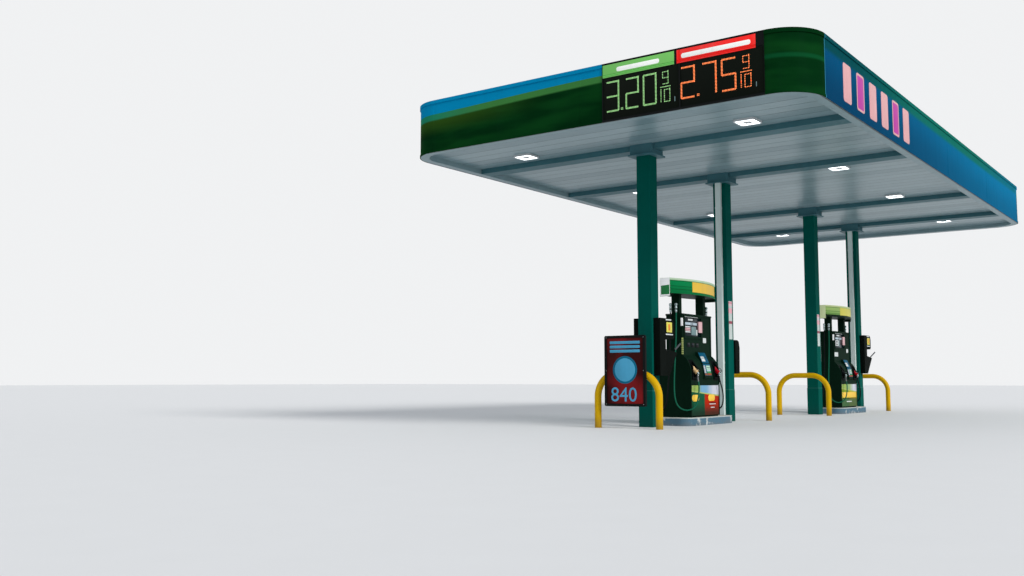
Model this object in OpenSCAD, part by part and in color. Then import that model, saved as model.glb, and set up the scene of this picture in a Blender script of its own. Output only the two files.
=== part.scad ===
// Filling station canopy on four columns in a row, with two pump islands below.
// X is across the canopy, Y is along it, Z is up; the origin is at ground level
// under the middle of the roof. The front end, with the price sign, faces -Y.

/* [Roof] */
// Length of the roof over the fascia
roof_l = 15240; // [14400:10:16400]
// Width of the roof over the fascia
roof_w = 7316; // [6900:2:7900]
// Height from the ground to the underside of the roof edge
clearance = 4710; // [4300:10:5200]
// Height of the fascia
fascia_h = 914; // [800:1:1100]
// Radius of the roof's corners
corner_r = 640; // [500:5:700]
// Depth by which the ceiling pans sit above the roof edge
recess = 90; // [60:5:110]

/* [Columns] */
// Side of the square columns
column_side = 254; // [200:2:300]
// Wall of the column tube
column_wall = 10; // [6:1:16]
// Distance between the two columns of one island
pair_gap = 3048; // [2900:1:3300]
// Distance between the inner columns
middle_gap = 4877; // [4600:1:5200]
// Height of the sleeve round each column's foot
sleeve_h = 610; // [400:10:800]

/* [Frame] */
// Depth of the main cross beams
beam_d = 406; // [360:2:460]
// Depth of the purlins that carry the ceiling pans
purlin_d = 254; // [200:2:280]
// Spacing of the purlin lines
purlin_gap = 1200; // [1000:10:1250]
// Nominal width of one ceiling pan
pan_w = 305; // [290:5:330]

/* [Lights] */
// Side of each square ceiling light
light_side = 356; // [300:2:400]
// Distance of the light rows from the centre line
light_x = 2110; // [2050:10:2250]

/* [Price sign] */
// Left edge of the sign, from the centre line
sign_x = 407; // [200:1:800]
// Height of the coloured header over each price
header_h = 178; // [120:2:220]

/* [Pump islands] */
// Length of an island
island_l = 1900; // [1600:10:2100]
// Width of an island
island_w = 900; // [820:10:1000]
// Height of an island's kerb
island_h = 140; // [100:5:180]

/* [Dispensers] */
// Length of a dispenser's cabinet
pump_l = 1160; // [1060:10:1240]
// Depth of the cabinet at its foot, customer face to customer face
pump_w = 600; // [540:10:660]
// Height of the dispenser's head above the ground
pump_h = 1960; // [1880:10:2040]
// Underside of the topper above the ground
topper_z = 2300; // [2200:10:2340]
// Height of the topper
topper_h = 270; // [240:10:340]

/* [Guards] */
// Height of a hoop guard
hoop_h = 950; // [850:10:1050]
// Width of a hoop guard between the middles of its legs
hoop_w = 1140; // [1040:10:1240]
// Diameter of the hoop's pipe
hoop_d = 114; // [89:1:127]
// Distance of each hoop from its column
hoop_gap = 720; // [640:10:800]

/* [Poster] */
// Width of the poster frame
poster_w = 760; // [600:10:800]
// Height of the poster frame
poster_h = 1150; // [900:10:1200]

/* [Hidden] */

white = [0.80, 0.82, 0.83];
green = [0.01, 0.20, 0.13];
steel = [0.45, 0.47, 0.48];
fascia_green = [0.02, 0.22, 0.09];
black = [0.03, 0.03, 0.03];

// Columns along Y, and the islands between the two columns of each pair
column_y = [-middle_gap / 2 - pair_gap, -middle_gap / 2, middle_gap / 2, middle_gap / 2 + pair_gap];
island_y = [-(middle_gap + pair_gap) / 2, (middle_gap + pair_gap) / 2];

half_l = roof_l / 2;
half_w = roof_w / 2;

// Levels
roof_top = clearance + fascia_h;
deck_z = clearance + recess;
sheet = 4;
sleeve_t = 4;
beam_z = clearance + sheet;
frame_top = beam_z + beam_d;
purlin_z = frame_top - purlin_d;
deck_top = deck_z + sheet;
collar_drop = 100;

// Distances in from the outer line of the fascia
coping_out = 14;
fascia_in = coping_out + 6;
gutter_out = fascia_in + 1;
gutter_in = 172;
channel_out = 178;
channel_w = 70;
channel_in = channel_out + channel_w;

// Rolled sections
beam_flange_w = 178;
beam_flange_t = 14;
beam_web = 10;
purlin_flange_w = 102;
purlin_flange_t = 8;
purlin_web = 8;
cover_w = 300;
lip = 25;
cap_plate_t = 24;
cap_plate_x = 380;
cap_plate_y = 270;

purlin_lines = [0.5, 1.5, 2.5];

// Ceiling bays between the gutters and the beam covers, each as [start, end]
bay_starts = [-half_l + gutter_in, for (y = column_y) y + cover_w / 2];
bay_ends = [for (y = column_y) y - cover_w / 2, half_l - gutter_in];
deck_half_w = half_w - gutter_in;
rib_t = 12;
seam_w = 5;
seam_d = 2;

function pan_count(bay) = round((bay_ends[bay] - bay_starts[bay]) / pan_w);
function pan_pitch(bay) = (bay_ends[bay] - bay_starts[bay]) / pan_count(bay);

// Lights sit in the second pan from beams 1 to 4, in bays 1, 3, 3 and 5
light_y = [
  bay_ends[0] - 1.5 * pan_pitch(0),
  bay_starts[2] + 1.5 * pan_pitch(2),
  bay_ends[2] - 1.5 * pan_pitch(2),
  bay_starts[4] + 1.5 * pan_pitch(4)
];
light_drop = 34;
light_box = 262;

module centred_box(x, y, z0, z1) {
  translate([-x / 2, -y / 2, z0])
    cube([x, y, z1 - z0]);
}

module rounded_plan(x, y, r) {
  square([x - 2 * r, y], center = true);
  square([x, y - 2 * r], center = true);
  for (i = [-1, 1], j = [-1, 1])
    translate([i * (x / 2 - r), j * (y / 2 - r)])
      circle(r, $fn = 96);
}

// A section drawn in [inward, height] run along the straight part of one side.
// side 0 is the front, 1 the right, 2 the back and 3 the left.
module along_side(side, run) {
  reach = side % 2 == 0 ? half_l : half_w;
  rotate([0, 0, 90 * side])
    translate([-run / 2, -reach, 0])
      rotate([90, 0, 90])
        linear_extrude(run)
          children();
}

// The same section turned round the roof's four corners
module round_corners() {
  for (i = [0, 1], j = [0, 1])
    mirror([i, 0, 0])
      mirror([0, j, 0])
        translate([half_w - corner_r, half_l - corner_r, 0])
          rotate_extrude(angle = 90, $fn = 96)
            translate([corner_r, 0])
              mirror([1, 0])
                children();
}

// Columns
module column(number) {
  color(green)
    translate([0, column_y[number - 1], 0]) {
      difference() {
        union() {
          centred_box(column_side, column_side, 0, beam_z - cap_plate_t);
          centred_box(column_side + 2 * sleeve_t, column_side + 2 * sleeve_t, 0, sleeve_h);
        }
        centred_box(column_side - 2 * column_wall, column_side - 2 * column_wall, -1, beam_z - cap_plate_t + 1);
      }
      centred_box(cap_plate_x, cap_plate_y, beam_z - cap_plate_t, beam_z);
    }
}

collar_side = 430;
collar_lip = 500;
collar_lip_t = 18;

module column_collars() {
  color(white)
    for (y = column_y)
      translate([0, y, clearance - collar_drop])
        difference() {
          union() {
            linear_extrude(collar_lip_t)
              rounded_plan(collar_lip, collar_lip, 45);
            linear_extrude(collar_drop + recess)
              rounded_plan(collar_side, collar_side, 30);
          }
          translate([0, 0, collar_lip_t])
            linear_extrude(collar_drop + recess)
              rounded_plan(collar_side - 2 * sheet, collar_side - 2 * sheet, 30 - sheet);
          centred_box(column_side, column_side, -1, collar_drop);
          centred_box(collar_side + 2, beam_flange_w, collar_drop, collar_drop + recess + 1);
        }
}

// Rolled sections, drawn with their foot on the axis
module i_section(depth, flange_w, flange_t, web) {
  translate([-flange_w / 2, 0])
    square([flange_w, flange_t]);
  translate([-flange_w / 2, depth - flange_t])
    square([flange_w, flange_t]);
  translate([-web / 2, 0])
    square([web, depth]);
}

module main_beam(number) {
  beam_l = 2 * (half_w - channel_in);
  color(steel)
    translate([-beam_l / 2, column_y[number - 1], beam_z])
      rotate([90, 0, 90])
        linear_extrude(beam_l)
          i_section(beam_d, beam_flange_w, beam_flange_t, beam_web);
}

// Sheet covers round the beams' lower part, open where the columns come up
module beam_covers() {
  cover_l = deck_half_w - collar_side / 2;
  color(white)
    for (y = column_y, side = [-1, 1])
      translate([side > 0 ? collar_side / 2 : -deck_half_w, y, clearance])
        rotate([90, 0, 90])
          linear_extrude(cover_l)
            difference() {
              union() {
                translate([-cover_w / 2, 0])
                  square([cover_w, recess]);
                translate([-cover_w / 2 - lip, recess - sheet])
                  square([cover_w + 2 * lip, sheet]);
              }
              translate([-cover_w / 2 + sheet, sheet])
                square([cover_w - 2 * sheet, recess]);
            }
}

// Purlins framed between the beams, level with their tops
module purlin(y0, y1, tab0, tab1) {
  tab_h = 160;
  translate([0, y1, purlin_z])
    rotate([90, 0, 0])
      linear_extrude(y1 - y0)
        i_section(purlin_d, purlin_flange_w, purlin_flange_t, purlin_web);
  translate([-purlin_web / 2, y0 - tab0, purlin_z + (purlin_d - tab_h) / 2])
    cube([purlin_web, y1 - y0 + tab0 + tab1, tab_h]);
}

module purlins(side) {
  tab = (beam_flange_w - beam_web) / 2;
  flange = beam_flange_w / 2;
  edge = half_l - channel_in;
  color(steel)
    for (line = purlin_lines)
      translate([side * line * purlin_gap, 0, 0]) {
        purlin(-edge, column_y[0] - flange, 0, tab);
        for (i = [0:2])
          purlin(column_y[i] + flange, column_y[i + 1] - flange, tab, tab);
        purlin(column_y[3] + flange, edge, tab, 0);
      }
}

// Channels that close the frame behind the fascia
module channel_section() {
  translate([channel_out, purlin_z])
    difference() {
      square([channel_w, purlin_d]);
      translate([8, 10])
        square([channel_w, purlin_d - 20]);
    }
}

module edge_channels() {
  past = 90;
  across = corner_r - channel_out - past;
  color(steel) {
    for (side = [0:3])
      along_side(side, (side % 2 == 0 ? roof_w : roof_l) - 2 * corner_r + 2 * past)
        channel_section();
    for (i = [0, 1], j = [0, 1])
      mirror([i, 0, 0])
        mirror([0, j, 0])
          translate([half_w - corner_r + past, half_l - channel_out, purlin_z + 40])
            linear_extrude(purlin_d - 80)
              polygon([[0, 0], [across, -across], [across, -across - 30], [0, -30]]);
  }
}

// Ceiling pans: a flat face below and standing ribs that reach the purlins
module pan_section(bay, span) {
  difference() {
    union() {
      square([span, sheet]);
      for (i = [1:pan_count(bay) - 1])
        translate([i * pan_pitch(bay) - rib_t / 2, 0])
          square([rib_t, purlin_z - deck_z]);
    }
    for (i = [1:pan_count(bay) - 1])
      translate([i * pan_pitch(bay) - seam_w / 2, -1])
        square([seam_w, seam_d + 1]);
  }
}

module deck_bay(number) {
  bay = number - 1;
  y0 = bay_starts[bay];
  span = bay_ends[bay] - y0;
  color(white)
    difference() {
      intersection() {
        translate([-deck_half_w, y0, deck_z])
          rotate([90, 0, 90])
            linear_extrude(2 * deck_half_w)
              pan_section(bay, span);
        translate([0, 0, deck_z])
          linear_extrude(purlin_z - deck_z)
            rounded_plan(2 * deck_half_w, roof_l - 2 * gutter_in, corner_r - gutter_in);
      }
      for (x = [-light_x, light_x], y = light_y)
        translate([x, y, 0])
          centred_box(light_box, light_box, deck_z - 1, deck_top + 1);
    }
}

// Gutter with a flange under the ceiling pans and one under the fascia frame
module gutter_section() {
  gutter_w = gutter_in - gutter_out;
  translate([gutter_out, clearance])
    difference() {
      union() {
        square([gutter_w, recess]);
        translate([gutter_w - 1, recess - sheet])
          square([lip, sheet]);
        square([sheet, purlin_z - clearance]);
        translate([0, purlin_z - clearance - sheet])
          square([40, sheet]);
      }
      translate([sheet, sheet])
        square([gutter_w - 2 * sheet, recess]);
    }
}

module gutters() {
  color(white)
    for (side = [0:3])
      along_side(side, (side % 2 == 0 ? roof_w : roof_l) - 2 * corner_r)
        gutter_section();
}

module gutter_corners() {
  color(white)
    round_corners()
      gutter_section();
}

// Fascia: sheet face with a coping along the top and a trim along the foot
coping_h = 60;
foot_h = 36;
module fascia_section() {
  translate([coping_out, clearance])
    square([6, fascia_h]);
  translate([0, roof_top - coping_h])
    square([coping_out + 1, coping_h]);
  translate([0, roof_top - 6])
    square([fascia_in + 80, 6]);
  translate([fascia_in + 74, roof_top - 40])
    square([6, 40]);
  translate([4, clearance])
    square([coping_out - 3, foot_h]);
}

module fascia_side(side) {
  color(fascia_green)
    along_side(side, (side % 2 == 0 ? roof_w : roof_l) - 2 * corner_r)
      fascia_section();
}

module fascia_front() {
  front_l = sign_x + half_w - corner_r;
  color(fascia_green)
    translate([-half_w + corner_r, -half_l, 0])
      rotate([90, 0, 90])
        linear_extrude(front_l)
          fascia_section();
}

module fascia_corners() {
  color(fascia_green)
    round_corners()
      fascia_section();
}

// Posts, rails and knees behind the straight parts of the fascia, from x0 to x1
post = 40;
module fascia_frame(side, x0, x1, count) {
  reach = side % 2 == 0 ? half_l : half_w;
  rail_z = roof_top - 50 - post;
  rotate([0, 0, 90 * side])
    translate([x0, -reach, 0]) {
      translate([0, fascia_in, rail_z])
        cube([x1 - x0, post, post]);
      for (i = [0:count - 1])
        translate([20 + i * (x1 - x0 - 40 - post) / (count - 1), 0, 0]) {
          translate([0, fascia_in, purlin_z])
            cube([post, post, rail_z - purlin_z + 1]);
          translate([post, 0, 0])
            rotate([90, 0, -90])
              linear_extrude(8)
                polygon([
                  [-fascia_in - post + 1, frame_top], [-channel_in, frame_top],
                  [-fascia_in - post + 1, rail_z]
                ]);
        }
    }
}

module fascia_frames() {
  x = half_w - corner_r;
  y = half_l - corner_r;
  color(steel) {
    fascia_frame(0, -x, sign_x, 3);
    fascia_frame(1, -y, y, 11);
    fascia_frame(2, -x, x, 5);
    fascia_frame(3, -y, y, 11);
  }
}

// Price sign: a cabinet on the gutter's flange, held to the edge channel by two arms.
// Its front has two faces, each with a header above a price field.
sign_depth = 150;
module price_sign() {
  sign_w = half_w - corner_r - sign_x;
  face_w = sign_w / 2 - 20;
  color(black)
    translate([sign_x, -half_l, clearance]) {
      difference() {
        union() {
          cube([sign_w, fascia_in, fascia_h]);
          translate([0, 0, purlin_z - clearance])
            cube([sign_w, sign_depth, roof_top - purlin_z]);
        }
        for (i = [0, 1])
          translate([16 + i * (sign_w / 2 + 2), -1, 0]) {
            translate([0, 0, fascia_h - header_h - 8])
              cube([face_w, 7, header_h - 8]);
            translate([0, 0, 30])
              cube([face_w, 15, fascia_h - header_h - 60]);
          }
      }
      for (x = [300, sign_w - 360])
        translate([x, sign_depth - 1, purlin_z - clearance + 100])
          cube([60, channel_out - sign_depth + 1, 60]);
    }
}

module ceiling_lights() {
  color(white)
    for (x = [-light_x, light_x], y = light_y)
      translate([x, y, 0]) {
        difference() {
          translate([0, 0, deck_z - light_drop])
            linear_extrude(light_drop)
              rounded_plan(light_side, light_side, 50);
          translate([0, 0, deck_z - light_drop - 1])
            linear_extrude(13)
              rounded_plan(light_side - 36, light_side - 36, 36);
        }
        centred_box(110, 110, deck_z - light_drop, deck_z);
        centred_box(light_box - 2, light_box - 2, deck_z - 5, deck_z + 90);
      }
}

// Rainwater pipes on the front faces of columns 2 and 4
pipe_x = 102;
pipe_y = 76;
module downspouts() {
  pipe_l = clearance - collar_drop;
  color(white)
    for (y = [column_y[1], column_y[3]])
      translate([-pipe_x / 2, y - column_side / 2 - sleeve_t - pipe_y, 0])
        difference() {
          union() {
            cube([pipe_x, pipe_y, pipe_l]);
            for (z = [1100, 2600, 4100])
              translate([-3, -3, z])
                cube([pipe_x + 6, pipe_y + sleeve_t + 3, 40]);
          }
          translate([3, 3, -1])
            cube([pipe_x - 6, pipe_y - 6, pipe_l + 2]);
        }
}

// Hoop guards, one before each column's outer face
bend_r = 380;
module hoop() {
  axis_z = hoop_h - hoop_d / 2;
  for (side = [-1, 1]) {
    translate([side * hoop_w / 2, 0, 0])
      cylinder(h = axis_z - bend_r, d = hoop_d, $fn = 48);
    translate([side * (hoop_w / 2 - bend_r), 0, axis_z - bend_r])
      rotate([90, 0, 0])
        rotate([0, 0, side > 0 ? 0 : 90])
          rotate_extrude(angle = 90, $fn = 96)
            translate([bend_r, 0])
              circle(d = hoop_d, $fn = 48);
  }
  translate([-hoop_w / 2 + bend_r, 0, axis_z])
    rotate([0, 90, 0])
      cylinder(h = hoop_w - 2 * bend_r, d = hoop_d, $fn = 48);
}

module hoop_guards(pair) {
  color([0.85, 0.60, 0.02])
    for (i = [0, 1])
      translate([0, column_y[2 * pair - 2 + i] + (i == 0 ? -hoop_gap : hoop_gap), 0])
        hoop();
}

// Poster frame clamped to the first hoop
poster_t = 46;
poster_rim = 42;
poster_z = 360;
module poster_frame() {
  axis_y = column_y[0] - hoop_gap;
  axis_z = hoop_h - hoop_d / 2;
  back_y = axis_y - hoop_d / 2;
  color(black) {
    translate([0, back_y, poster_z + poster_h / 2])
      rotate([90, 0, 0])
        difference() {
          linear_extrude(poster_t)
            rounded_plan(poster_w, poster_h, 30);
          translate([0, 0, poster_t - 12])
            linear_extrude(13)
              rounded_plan(poster_w - 2 * poster_rim, poster_h - 2 * poster_rim, 12);
        }
    // Saddles on the hoop's top bar
    for (x = [-150, 150])
      difference() {
        translate([x - 20, back_y - 1, axis_z - 70])
          cube([40, hoop_d / 2 + 1, 140]);
        translate([x - 21, axis_y, axis_z])
          rotate([0, 90, 0])
            cylinder(h = 42, d = hoop_d, $fn = 48);
      }
  }
}

// Islands: a concrete slab inside a steel kerb
kerb_t = 8;
island_r = 210;
module island_slab(number) {
  color([0.70, 0.70, 0.66])
    translate([0, island_y[number - 1], 0])
      linear_extrude(island_h - 6)
        rounded_plan(island_w - 2 * kerb_t - 1, island_l - 2 * kerb_t - 1, island_r - kerb_t);
}

module island_kerb(number) {
  color([0.20, 0.30, 0.42])
    translate([0, island_y[number - 1], 0])
      difference() {
        linear_extrude(island_h)
          rounded_plan(island_w, island_l, island_r);
        translate([0, 0, -1])
          linear_extrude(island_h + 2)
            rounded_plan(island_w - 2 * kerb_t, island_l - 2 * kerb_t, island_r - kerb_t);
      }
}

// Hose route of one quarter of a dispenser, from the outlet to the nozzle
hose_d = 25;
hose_route = [
  [56, -610, 2010], [56, -610, 1920], [56, -618, 1700], [54, -640, 1400], [52, -668, 1150],
  [53, -698, 920], [57, -722, 720], [65, -734, 570], [80, -734, 450], [110, -718, 354],
  [168, -682, 286], [248, -630, 260], [326, -578, 286], [382, -540, 354], [406, -518, 450],
  [413, -492, 560], [404, -462, 670], [384, -444, 760], [372, -440, 815], [372, -440, 860]
];

// Dispenser cabinet: foot, round shoulders, narrow head and two posts under the topper
slab_z = island_h - 6;
shoulder_z = 920;
head_z = 1220;
head_w = 300;
cheek_t = 26;
post_t = 100;
post_w = 150;
post_inset = 50;

// Nozzles hang in boots, with their spouts in holes along the same leaning line
nozzle_foot = hose_route[len(hose_route) - 1];
nozzle_lean = 50;
body_l = 130;
spout_d = 26;
spout_end = 218;
boot_w = 120;
module at_nozzle(side, end) {
  mirror([side > 0 ? 0 : 1, 0, 0])
    mirror([0, end > 0 ? 1 : 0, 0])
      translate(nozzle_foot)
        children();
}

module lean_nozzle() {
  translate([0, 0, 50])
    rotate([0, -nozzle_lean, 0])
      children();
}

module nozzle_boot() {
  translate([236 - nozzle_foot[0], -boot_w / 2, -20])
    cube([200, boot_w, 300]);
  lean_nozzle()
    cylinder(h = spout_end, d = spout_d + 1, $fn = 32);
}

// Outline of the cabinet from its end; grow makes the wider outline of the end cheeks.
// Each shoulder is an arc that leaves the face upright and ends at the head.
plinth_h = 20;
module cabinet_section(grow) {
  rise = head_z - shoulder_z;
  run = (pump_w - head_w) / 2;
  r = (run * run + rise * rise) / (2 * run);
  translate([-pump_w / 2 + 30, slab_z])
    square([pump_w - 60, plinth_h + 1]);
  translate([-pump_w / 2 - grow, slab_z + plinth_h])
    square([pump_w + 2 * grow, shoulder_z - slab_z - plinth_h]);
  translate([-head_w / 2 - grow, shoulder_z - 1])
    square([head_w + 2 * grow, pump_h - shoulder_z + 1]);
  for (side = [0, 1])
    mirror([side, 0])
      intersection() {
        translate([pump_w / 2 - r, shoulder_z])
          circle(r + grow, $fn = 180);
        translate([0, shoulder_z - 1])
          square([pump_w / 2 + grow, rise + 1]);
      }
}

// Raised parts of one customer face: the display's rim, the console and the boots' rims
display = [-480, 1560, 640, 340];
rim = 40;
console = [-70, 215];
door_top = 700;
module face_parts() {
  translate([head_w / 2 - 1, display[0] - rim, display[1] - rim])
    cube([17, display[2] + 2 * rim, display[3] + 2 * rim - 1]);
  translate([0, console[1], 0])
    rotate([90, 0, 0])
      linear_extrude(console[1] - console[0])
        polygon([
          [head_w / 2 - 5, head_z - 60], [head_w / 2 - 5, 1285], [head_w / 2 + 45, 1285],
          [pump_w / 2 - 12, 1085], [pump_w / 2 + 35, 860], [pump_w / 2 + 38, 830],
          [pump_w / 2 - 5, 785]
        ]);
  for (end = [-1, 1])
    translate([0, -end * nozzle_foot[1] + boot_w / 2 + 30, 0])
      rotate([90, 0, 0])
        linear_extrude(boot_w + 60)
          polygon([
            [pump_w / 2 - 100, 790], [pump_w / 2 - 2, 790], [pump_w / 2 + 20, 812],
            [pump_w / 2 + 20, 1020], [pump_w / 2 - 45, 1100], [pump_w / 2 - 100, 1100]
          ]);
}

module face_recesses() {
  translate([head_w / 2 - 12, display[0], display[1]])
    cube([40, display[2], display[3]]);
  translate([pump_w / 2 - 5, -pump_l / 2 - 1, door_top])
    cube([20, pump_l + 2, 6]);
  for (end = [-1, 1])
    at_nozzle(1, end)
      nozzle_boot();
}

module both_faces() {
  for (turn = [0, 180])
    rotate([0, 0, turn])
      children();
}

// Elbow from a post's outer face to the swivel over a hose
module hose_outlet() {
  elbow_z = hose_route[0][2] + 110;
  reach = -hose_route[0][1];
  start = pump_l / 2 - post_inset - 5;
  translate([0, -start, elbow_z])
    rotate([90, 0, 0])
      cylinder(h = reach - start, d = 36, $fn = 32);
  translate([0, -reach, elbow_z])
    sphere(d = 46, $fn = 32);
  translate([0, -reach, hose_route[0][2] + 40])
    cylinder(h = 70, d = 30, $fn = 32);
  translate([0, -reach, hose_route[0][2]])
    cylinder(h = 42, d = 38, $fn = 32);
}

module dispenser_cabinet(number) {
  color([0.02, 0.10, 0.07])
    translate([0, island_y[number - 1], 0]) {
      difference() {
        union() {
          translate([0, pump_l / 2 - cheek_t + 1, 0])
            rotate([90, 0, 0])
              linear_extrude(pump_l - 2 * cheek_t + 2)
                cabinet_section(0);
          for (y = [-pump_l / 2 + cheek_t, pump_l / 2])
            translate([0, y, 0])
              rotate([90, 0, 0])
                linear_extrude(cheek_t)
                  cabinet_section(9);
          translate([0, 0, pump_h - 30])
            linear_extrude(30)
              square([head_w + 40, pump_l], center = true);
          both_faces()
            face_parts();
        }
        both_faces()
          face_recesses();
      }
      for (end = [-1, 1]) {
        translate([0, end * (pump_l / 2 - post_inset - post_t / 2), 0])
          centred_box(post_w, post_t, pump_h - 1, topper_z);
        for (side = [-1, 1])
          mirror([0, end > 0 ? 1 : 0, 0])
            translate([side * hose_route[0][0], 0, 0])
              hose_outlet();
      }
    }
}

// Topper: a sign body bowed toward both lanes, with end caps that hang below it
topper_l = 1800;
topper_w = 560;
topper_end = 180;
module topper_plan(grow) {
  bow = (topper_w - topper_end) / 2;
  r = (topper_l * topper_l / 4 + bow * bow) / (2 * bow);
  intersection() {
    translate([topper_w / 2 - r, 0])
      circle(r + grow, $fn = 360);
    translate([r - topper_w / 2, 0])
      circle(r + grow, $fn = 360);
    square([topper_w + 2 * grow + 2, topper_l + 2 * grow], center = true);
  }
}

module dispenser_topper(number) {
  trim = 26;
  cap_t = 26;
  cap_grow = 12;
  cap_drop = 50;
  color([0.03, 0.35, 0.12])
    translate([0, island_y[number - 1], topper_z]) {
      linear_extrude(topper_h)
        topper_plan(0);
      for (z = [0, topper_h - trim])
        translate([0, 0, z])
          linear_extrude(trim)
            topper_plan(8);
      translate([0, 0, -cap_drop])
        linear_extrude(topper_h + cap_drop)
          difference() {
            topper_plan(cap_grow);
            square([topper_w + 30, topper_l + 2 * (cap_grow - cap_t)], center = true);
          }
    }
}

// Nozzles: swivel, leaning body, splash cup, spout, and a ring guard round the lever
module nozzle() {
  cylinder(h = 24, d = 38, $fn = 32);
  cylinder(h = 60, d = 30, $fn = 32);
  lean_nozzle() {
    sphere(d = 56, $fn = 32);
    cylinder(h = body_l - 30, d = 52, $fn = 32);
    translate([0, 0, body_l - 42])
      cylinder(h = 42, d1 = 58, d2 = 92, $fn = 32);
    translate([0, 0, body_l - 2])
      cylinder(h = spout_end - body_l + 2, d = spout_d, $fn = 32);
    translate([34, 0, 34])
      rotate([90, 0, 0])
        rotate_extrude($fn = 48)
          translate([38, 0])
            circle(d = 12, $fn = 24);
    translate([20, -5, 6])
      cube([30, 10, 8]);
  }
}

module dispenser_nozzles(number) {
  color([0.75, 0.62, 0.42])
    translate([0, island_y[number - 1], 0])
      for (side = [-1, 1], end = [-1, 1])
        at_nozzle(side, end)
          nozzle();
}

function unit(v) = v / norm(v);
function cross_of(a, b) = [
  a[1] * b[2] - a[2] * b[1], a[2] * b[0] - a[0] * b[2], a[0] * b[1] - a[1] * b[0]
];
function heading(p, i) = unit(p[min(i + 1, len(p) - 1)] - p[max(i - 1, 0)]);
function ring_at(p, i, r, sides) =
  let (
    t = heading(p, i),
    u = unit(cross_of(t, [0.2, 1, 0])),
    v = cross_of(t, u)
  )
  [for (k = [0:sides - 1]) p[i] + r * (cos(360 * k / sides) * u + sin(360 * k / sides) * v)];

module swept_tube(p, d, sides) {
  rings = len(p);
  points = [for (i = [0:rings - 1]) each ring_at(p, i, d / 2, sides)];
  walls = [
    for (i = [0:rings - 2], k = [0:sides - 1])
      [i * sides + k, i * sides + (k + 1) % sides, (i + 1) * sides + (k + 1) % sides, (i + 1) * sides + k]
  ];
  foot = [for (k = [sides - 1:-1:0]) k];
  end = [for (k = [0:sides - 1]) (rings - 1) * sides + k];
  polyhedron(points = points, faces = concat(walls, [foot, end]), convexity = 6);
}

module hose(number, side, end) {
  color([0.02, 0.16, 0.10])
    translate([0, island_y[number - 1], 0])
      mirror([side > 0 ? 0 : 1, 0, 0])
        mirror([0, end > 0 ? 1 : 0, 0])
          swept_tube(hose_route, hose_d, 8);
}

// Service units on columns 1 and 4: a back that reaches round the column's sides by
// unit_wrap, a hooded towel box, and a tapered bucket with a squeegee in it
unit_w = 500;
unit_h = 970;
unit_back = 14;
unit_wrap = 190;
box_h = 350;
box_depth = 330;
rim_back = 450;
rim_front = 400;
rim_depth = 450;
rim_w = 490;
foot_depth = 300;
foot_w = 340;
bucket_wall = 8;
module across_unit(w) {
  translate([-w / 2, 0, 0])
    rotate([90, 0, 90])
      linear_extrude(w)
        children();
}

// The bucket narrows toward its foot both ways; over lifts the inside past the rim
module bucket_body(wall, over) {
  intersection() {
    across_unit(unit_w)
      polygon([
        [wall, wall], [foot_depth - wall, wall],
        [rim_depth - wall, rim_front + over], [wall, rim_back + over]
      ]);
    translate([0, unit_w, 0])
      rotate([90, 0, 0])
        linear_extrude(unit_w)
          polygon([
            [wall - foot_w / 2, wall], [foot_w / 2 - wall, wall],
            [rim_w / 2 - wall, rim_back + over], [wall - rim_w / 2, rim_back + over]
          ]);
  }
}

module service_unit() {
  difference() {
    translate([-unit_w / 2, -unit_wrap, 0])
      cube([unit_w, unit_wrap + unit_back, unit_h]);
    translate([-column_side / 2, -unit_wrap - 1, -1])
      cube([column_side, unit_wrap + 1, unit_h + 2]);
  }
  translate([0, 0, unit_h - box_h])
    difference() {
      across_unit(unit_w)
        polygon([
          [0, 0], [box_depth - 40, 0], [box_depth, 40], [box_depth, box_h - 110],
          [box_depth - 30, box_h - 40], [box_depth - 80, box_h], [0, box_h]
        ]);
      translate([-unit_w / 2 + 85, box_depth - 40, 50])
        cube([unit_w - 170, 100, 40]);
    }
  difference() {
    bucket_body(0, 0);
    bucket_body(bucket_wall, 10);
  }
  // Squeegee standing on the bucket's floor and resting on its rim
  translate([-130, 230, bucket_wall + 4])
    rotate([0, 42.4, 17.7]) {
      cylinder(h = 730, d = 24, $fn = 24);
      translate([-11, -60, 0])
        cube([22, 120, 55]);
    }
}

// A waste bin with a hooded mouth on column 2
bin_w = 320;
module waste_bin() {
  difference() {
    across_unit(bin_w)
      polygon([[0, 0], [170, 0], [190, 30], [205, 500], [170, 620], [105, 650], [0, 650]]);
    translate([-bin_w / 2 + 50, 125, 445])
      cube([bin_w - 100, 100, 120]);
  }
}

module service_units() {
  color(black) {
    for (unit = [[0, 860], [3, 960]])
      translate([0, column_y[unit[0]] + column_side / 2, unit[1]])
        service_unit();
    translate([0, column_y[1] + column_side / 2, 910])
      waste_bin();
  }
}

// Notice plates on the right faces of columns 2 and 3
module column_notices() {
  color([0.85, 0.80, 0.78])
    for (y = [column_y[1], column_y[2]])
      translate([column_side / 2, y - 75, 1570])
        cube([3, 150, 735]);
}

column(1);  // column_1
column(2);  // column_2
column(3);  // column_3
column(4);  // column_4
column_collars();
main_beam(1);  // main_beam_1
main_beam(2);  // main_beam_2
main_beam(3);  // main_beam_3
main_beam(4);  // main_beam_4
beam_covers();
purlins(-1);  // purlins_left
purlins(1);  // purlins_right
edge_channels();
deck_bay(1);  // deck_bay_1
deck_bay(2);  // deck_bay_2
deck_bay(3);  // deck_bay_3
deck_bay(4);  // deck_bay_4
deck_bay(5);  // deck_bay_5
gutters();
gutter_corners();
fascia_frames();
fascia_front();
fascia_side(2);  // fascia_back
fascia_side(3);  // fascia_left
fascia_side(1);  // fascia_right
fascia_corners();
price_sign();
ceiling_lights();
downspouts();
hoop_guards(1);  // hoop_guards_1
hoop_guards(2);  // hoop_guards_2
poster_frame();
island_slab(1);  // island_slab_1
island_slab(2);  // island_slab_2
island_kerb(1);  // island_kerb_1
island_kerb(2);  // island_kerb_2
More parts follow.
